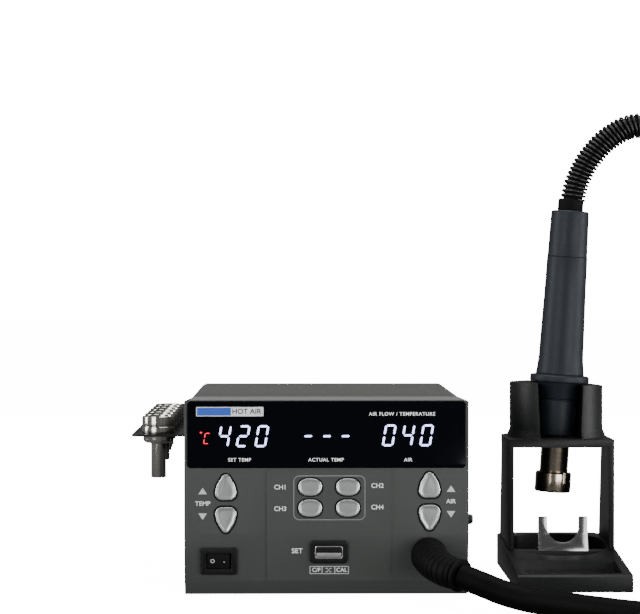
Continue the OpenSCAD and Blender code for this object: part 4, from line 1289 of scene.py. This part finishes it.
    def build_marks(self) -> None:
        """Print the key names, arrows, frame lines and the boxed legend."""
        for name, words, x, z in (("temp", "TEMP", -82.6, 64.2), ("air", "AIR", 83.2, 65.6)):
            self.pieces.append(lettering(f"label_{name}", words, self.label_mm, places.face(x, z)))
            for way, sign in (("up", 1), ("down", -1)):
                points = [(-2.9, -1.9 * sign), (2.9, -1.9 * sign), (0, 2.4 * sign)][::sign]
                mark = outline_piece(f"mark_{name}_{way}", points, 0.06,
                                     places.face(x, z + sign * 8.3))
                self.pieces.append(dress(mark, "print_dim"))
        out = places.panel_proud
        names = (("CH1", -30.8, 75.2), ("CH2", 34.0, 76.2), ("CH3", -30.8, 60.8), ("CH4", 34.0, 61.8))
        for words, x, z in names:
            self.pieces.append(lettering(f"label_{words.lower()}", words, 3.0, places.face(x, z, out)))
        self.add_line_frame("key_frame", (48.0, 29.8), 4.0, 0.5, places.face(1.9, 68.2, out), "line")
        low, row = places.lower_face, self.legend_z
        self.pieces.append(lettering("label_set", "SET", 3.3, low(-19.6, 32.6, out)))
        self.add_line_frame("legend_frame", (26.2, 5.4), 0.4, 0.4, low(1.9, row, out))
        for words, x in (("C/F", -6.8), ("CAL", 10.2)):
            self.pieces.append(lettering(f"legend_{words[0].lower()}{len(words)}", words, 2.7,
                                         low(x, row, out)))
        for x in (-2.9, 5.6):
            bar = block(f"legend_bar_{int(x + 3)}", (0.35, 5.0, 0.06), low(x, row, out), 0.01)
            self.pieces.append(dress(bar, "print"))
        for i, (x, rise) in enumerate(((0.2, 1.2), (1.4, 0), (0.2, -1.2), (2.6, 1.2), (2.6, -1.2))):
            dash = block(f"legend_air_{i}", (1.5, 0.35, 0.06), low(x, row + rise, out), 0.01)
            self.pieces.append(dress(dash, "print"))
        self.build_badge()
        # This heading is print with the same painted glow.
        self.pieces.append(lettering("label_air_flow", "AIR FLOW / TEMPERATURE", 2.3,
                                     places.face(50.5, 124.0, self.glass_out), "caption"))

    def build_badge(self) -> None:
        """Print a plain two-coloured badge in the window's corner."""
        spot = places.face(-64.5, 125.7, self.glass_out)
        for name, width, height, x, rise, key in (("badge_field", 44.8, 6.2, 0.0, 0.05, "print"),
                                                  ("badge_blue", 22.6, 5.2, -10.6, 0.09, "badge_blue")):
            plate = outline_piece(name, round_rect(width, height, 0.4, 3), rise,
                                  spot @ Matrix.Translation((x * MM, 0, 0)))
            self.pieces.append(dress(plate, key))
        self.pieces.append(lettering("badge_words", "HOT AIR", 3.4,
                                     spot @ Matrix.Translation((11.2 * MM, 0, 0.05 * MM)), "gap"))

    def add_line_frame(self, name: str, size: Point, radius: float, line: float, spot: Matrix,
                       key: str = "print_dim") -> None:
        """Print a thin round-cornered frame.

        Args:
            name: The frame's name.
            size: Its width and height, in mm.
            radius: Its corners' radius, in mm.
            line: Width of its line, in mm.
            spot: Its middle, on the face.
            key: The print's finish.
        """
        width, height = size
        inner = round_rect(width - 2 * line, height - 2 * line, max(0.05, radius - line))
        ring = ring_piece(name, round_rect(width, height, radius), inner, 0.06, spot)
        self.pieces.append(dress(ring, key))


@dataclass
class UnitBody:
    """Case, rack and what they hold."""

    plain: dict[str, str] = field(default_factory=lambda: {
        "display_modules": "black", "control_board": "board", "tact_switches": "sink",
        "hose_socket": "black", "transformer_core": "iron", "transformer_coil": "tape",
        "power_board": "board", "power_parts": "part", "heat_sink": "sink", "board_standoffs": "brass",
        "blower_housing": "black", "blower_cover": "black", "blower_impeller": "black",
        "blower_motor": "iron", "air_duct": "rubber",
    })

    def build(self) -> None:
        """Finish the case, its fittings and the inner parts."""
        refined("case_cover", "top_cover", "cover", 0.35, 2)
        refined("rear_panel", "back_plate", "chassis", 0.2)
        refined("base_tray", "bottom_tray", "chassis", 0.2)
        refined("mains_inlet", "appliance_inlet", "black", 0.4)
        refined("fuse_drawer", "fuse_holder", "black", 0.4)
        refined("rubber_feet", "unit_feet", "rubber", 0.4)
        refined("case_screws", "cover_screws", "screw", 0.12)
        refined("side_screws", "thumb_screws", "black", 0.35)
        refined("rack_screws", "rack_fixings", "screw", 0.12)
        refined("nozzle_rack", "rack_bracket", "rack", 0.3)
        for node, key in self.plain.items():
            dress(frame["nodes"][node], key)
        self.add_inlet_pins()

    def add_inlet_pins(self) -> None:
        """Stand three contact pins in the appliance inlet."""
        low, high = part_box("mains_inlet")
        middle = (low + high) / 2
        turn = Matrix.Rotation(-math.pi / 2, 4, "X")
        for i, (x, z) in enumerate(((-7, -2), (0, 3), (7, -2))):
            spot = Vector((middle.x + x * MM, high.y - 17 * MM, middle.z + z * MM))
            pin = block(f"inlet_pin_{i}", (2, 4, 13), Matrix.Translation(spot) @ turn, 0.3)
            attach(dress(pin, "chrome"), "unit")


@dataclass
class RackNozzles:
    """The six nozzles that hang in the rack."""

    pipes: tuple[Point, ...] = ((10.4, 24), (12, 14), (11.6, 9.5), (8, 12), (6.5, 12), (5, 12))
    collar_r: float = 11.4
    collar_h: float = 12.0
    cup_r: float = 10.6
    cup_h: float = 6.6
    slot_h: float = 8.0

    def build(self) -> None:
        """Turn each nozzle, slot its collar and hang it on its body."""
        for i, (pipe_d, pipe_l) in enumerate(self.pipes, 1):
            low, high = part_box(f"nozzle_{i}")
            seat = Vector(((low.x + high.x) / 2, (low.y + high.y) / 2, high.z - self.collar_h * MM))
            nozzle = lathe(f"rack_nozzle_{i}", self.profile(pipe_d / 2, pipe_l),
                           Matrix.Translation(seat), 0.25)
            slot = seat + Vector((0, -self.collar_r, self.collar_h - self.slot_h)) * MM
            cut(nozzle, block("slot_tool", (2.4, 12, 12), Matrix.Translation(slot), 0.4))
            shade(dress(nozzle, "nozzle"), 30)
            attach(nozzle, f"nozzle_{i}")
            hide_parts(f"nozzle_{i}")

    def profile(self, pipe_r: float, pipe_l: float) -> list[tuple[float, float]]:
        """Closed profile of a nozzle: collar, round-bottomed cup and pipe.

        Args:
            pipe_r: The pipe's outer radius in mm.
            pipe_l: The pipe's length below the cup in mm.

        Returns:
            (radius, height) points in mm.
        """
        end = -self.cup_h - pipe_l
        outer = [(10.5, self.collar_h), (self.collar_r - 0.5, self.collar_h),
                 (self.collar_r, self.collar_h - 0.5), (self.collar_r, 5.6), (self.collar_r - 0.35, 5.3),
                 (self.collar_r - 0.35, 4.8), (self.collar_r, 4.5), (self.collar_r, 0.02),
                 (self.cup_r, 0.02)]
        bottom = [(self.cup_r - 2.6 + 2.6 * math.cos(t), -self.cup_h + 2.6 - 2.6 * math.sin(t))
                  for t in (0, math.pi / 8, math.pi / 4, 3 * math.pi / 8, math.pi / 2)]
        inner = [(pipe_r + 0.4, -self.cup_h), (pipe_r, -self.cup_h - 0.4), (pipe_r, end),
                 (pipe_r - 0.6, end), (pipe_r - 0.6, 2.4 - self.cup_h), (self.cup_r - 1.4, 2.4 - self.cup_h),
                 (self.cup_r - 1.4, 2.0), (10.5, 2.0)]
        return outer + bottom + inner


# ---------------------------------------------------------------- stand and handle


@dataclass
class Stand:
    """The stand: its foot, its portal with the cradle, and the fork for pulling nozzles off."""

    def build(self) -> None:
        """Finish the stand's pieces."""
        refined("stand_base", "stand_foot_body", "stand", 0.8, 3)
        refined("stand_frame", "stand_portal", "stand", 0.8, 3)
        refined("fork_bracket", "nozzle_fork", "fork", 0.25)
        refined("stand_screws", "fork_screws", "screw", 0.12)
        refined("sleep_magnet", "cradle_magnet", "screw", 0.3)
        refined("stand_feet", "stand_pads", "rubber", 0.3)


@dataclass
class Handle:
    """The hot air handle: head, grip, cap, heater tube and fitted nozzle."""

    head_h: float = 39.0
    joint_h: float = 130.4
    top_h: float = 164.4
    flange_r: float = 21.6
    tube_r: float = 10.3

    def build(self) -> None:
        """Turn every round piece of the handle and set it on its axis."""
        at = places.handle()
        head = lathe("head_shell", self.head_profile(), at, 0.3)
        slit = at @ Matrix.Translation((10.8 * MM, -13.6 * MM, 9.6 * MM))
        cut(head, block("slit_tool", (1.3, 5.2, 10.6), slit, 0.3))
        self.mount(shade(head, 30), "grip", "handle_head")
        self.mount(lathe("grip_shell", self.grip_profile(), at, 0.35), "grip", "handle_grip")
        self.mount(lathe("grip_end_cap", self.cap_profile(), at, 0.3), "grip", "grip_cap")
        self.mount(lathe("heater_shroud", self.tube_profile(), at, 0.15), "tube", "heater_tube")
        dress(frame["nodes"]["heater_core"], "mica")
        self.build_nozzle(at)

    def mount(self, obj: Object, key: str, node: str) -> None:
        """Dress a piece of the handle and let it stand for its node.

        Args:
            obj: The piece.
            key: Its finish.
            node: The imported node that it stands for.
        """
        dress(obj, key)
        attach(obj, frame["nodes"][node]["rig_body"])
        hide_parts(node)

    def head_profile(self) -> list[tuple[float, float]]:
        """Closed profile of the head: lower band, groove, upper band and the hanging flange.

        Returns:
            (radius, height) points in mm.
        """
        top = self.head_h
        return [(10.35, 0), (14.3, 0), (15.1, 0.8), (16.45, 25.6), (15.9, 26), (15.9, 26.7),
                (16.9, 27.1), (17.95, top), (self.flange_r - 0.3, top + 0.2),
                (self.flange_r, top + 0.5), (self.flange_r, top + 3.9), (self.flange_r - 0.9, top + 5),
                (17.7, top + 5.4), (13, top + 5.4), (13, 25.9), (10.35, 25.9)]

    def grip_profile(self) -> list[tuple[float, float]]:
        """Closed profile of the grip: a flared foot and a gently tapered body.

        Returns:
            (radius, height) points in mm.
        """
        foot = self.head_h + 5.45
        outer = [(12.4, foot), (17.6, foot), (17.6, foot + 1.2)]
        outer += [(16.1 + 1.5 * (1 - s) ** 2.2, foot + 1.2 + 20.8 * s)
                  for s in (0.12, 0.25, 0.4, 0.6, 0.8)]
        outer += [(16.1, foot + 22), (15.6, foot + 44), (15.1, foot + 62), (14.8, self.joint_h)]
        return outer + [(12.4, self.joint_h)]

    def cap_profile(self) -> list[tuple[float, float]]:
        """Closed profile of the end cap: a joint line and a rounded mouth for the spring.

        Returns:
            (radius, height) points in mm.
        """
        low, top = self.joint_h + 0.05, self.top_h
        return [(11.8, low), (14.5, low), (14.8, low + 0.5), (14.5, low + 1.5), (14.2, low + 16),
                (13.8, top - 1.4), (13.2, top - 0.4), (12.5, top), (10.4, top), (10.2, top - 0.5),
                (10.2, top - 6), (11.8, top - 6)]

    def tube_profile(self) -> list[tuple[float, float]]:
        """Thin heater tube with a rolled lower rim."""
        return [(9.5, -30), (10.2, -30), (self.tube_r, -29.7), (self.tube_r, 26), (12.8, 26),
                (12.8, 27.4), (9.5, 27.4)]

    def build_nozzle(self, at: Matrix) -> None:
        """Turn the fitted nozzle and cut its clamp slot.

        Args:
            at: The handle's axis.
        """
        profile = [(9.7, -41.6), (12.4, -41.6), (12.9, -41.2), (13.1, -40.7), (13.1, -28.0),
                   (12.7, -27.3), (12.3, -27.1), (10.36, -27.1), (10.36, -30.3), (9.7, -30.3)]
        nozzle = lathe("outlet_nozzle", profile, at, 0.2)
        tool = block("slot_tool", (1.6, 6, 10), at @ Matrix.Translation((7 * MM, -12 * MM, -35 * MM)), 0.2)
        self.mount(shade(cut(nozzle, tool), 30), "tube", "fitted_nozzle")


def main() -> None:
    """Build the studio and each sub-assembly in turn, and report each piece."""
    logging.basicConfig(level=logging.INFO, format="%(message)s")
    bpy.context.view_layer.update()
    studio = Studio()
    studio.add_camera()
    known = set(bpy.data.objects.keys())
    for assembly in (HoseLine(), studio, UnitBody(), FrontPanel(), RackNozzles(), Stand(), Handle()):
        assembly.build()
        fresh = [name for name in bpy.data.objects.keys() if name not in known]
        known.update(fresh)
        for name in fresh:
            LOG.info("%s: %s", type(assembly).__name__, name)
    LOG.info("boxes written")


if __name__ == "__main__":
    main()
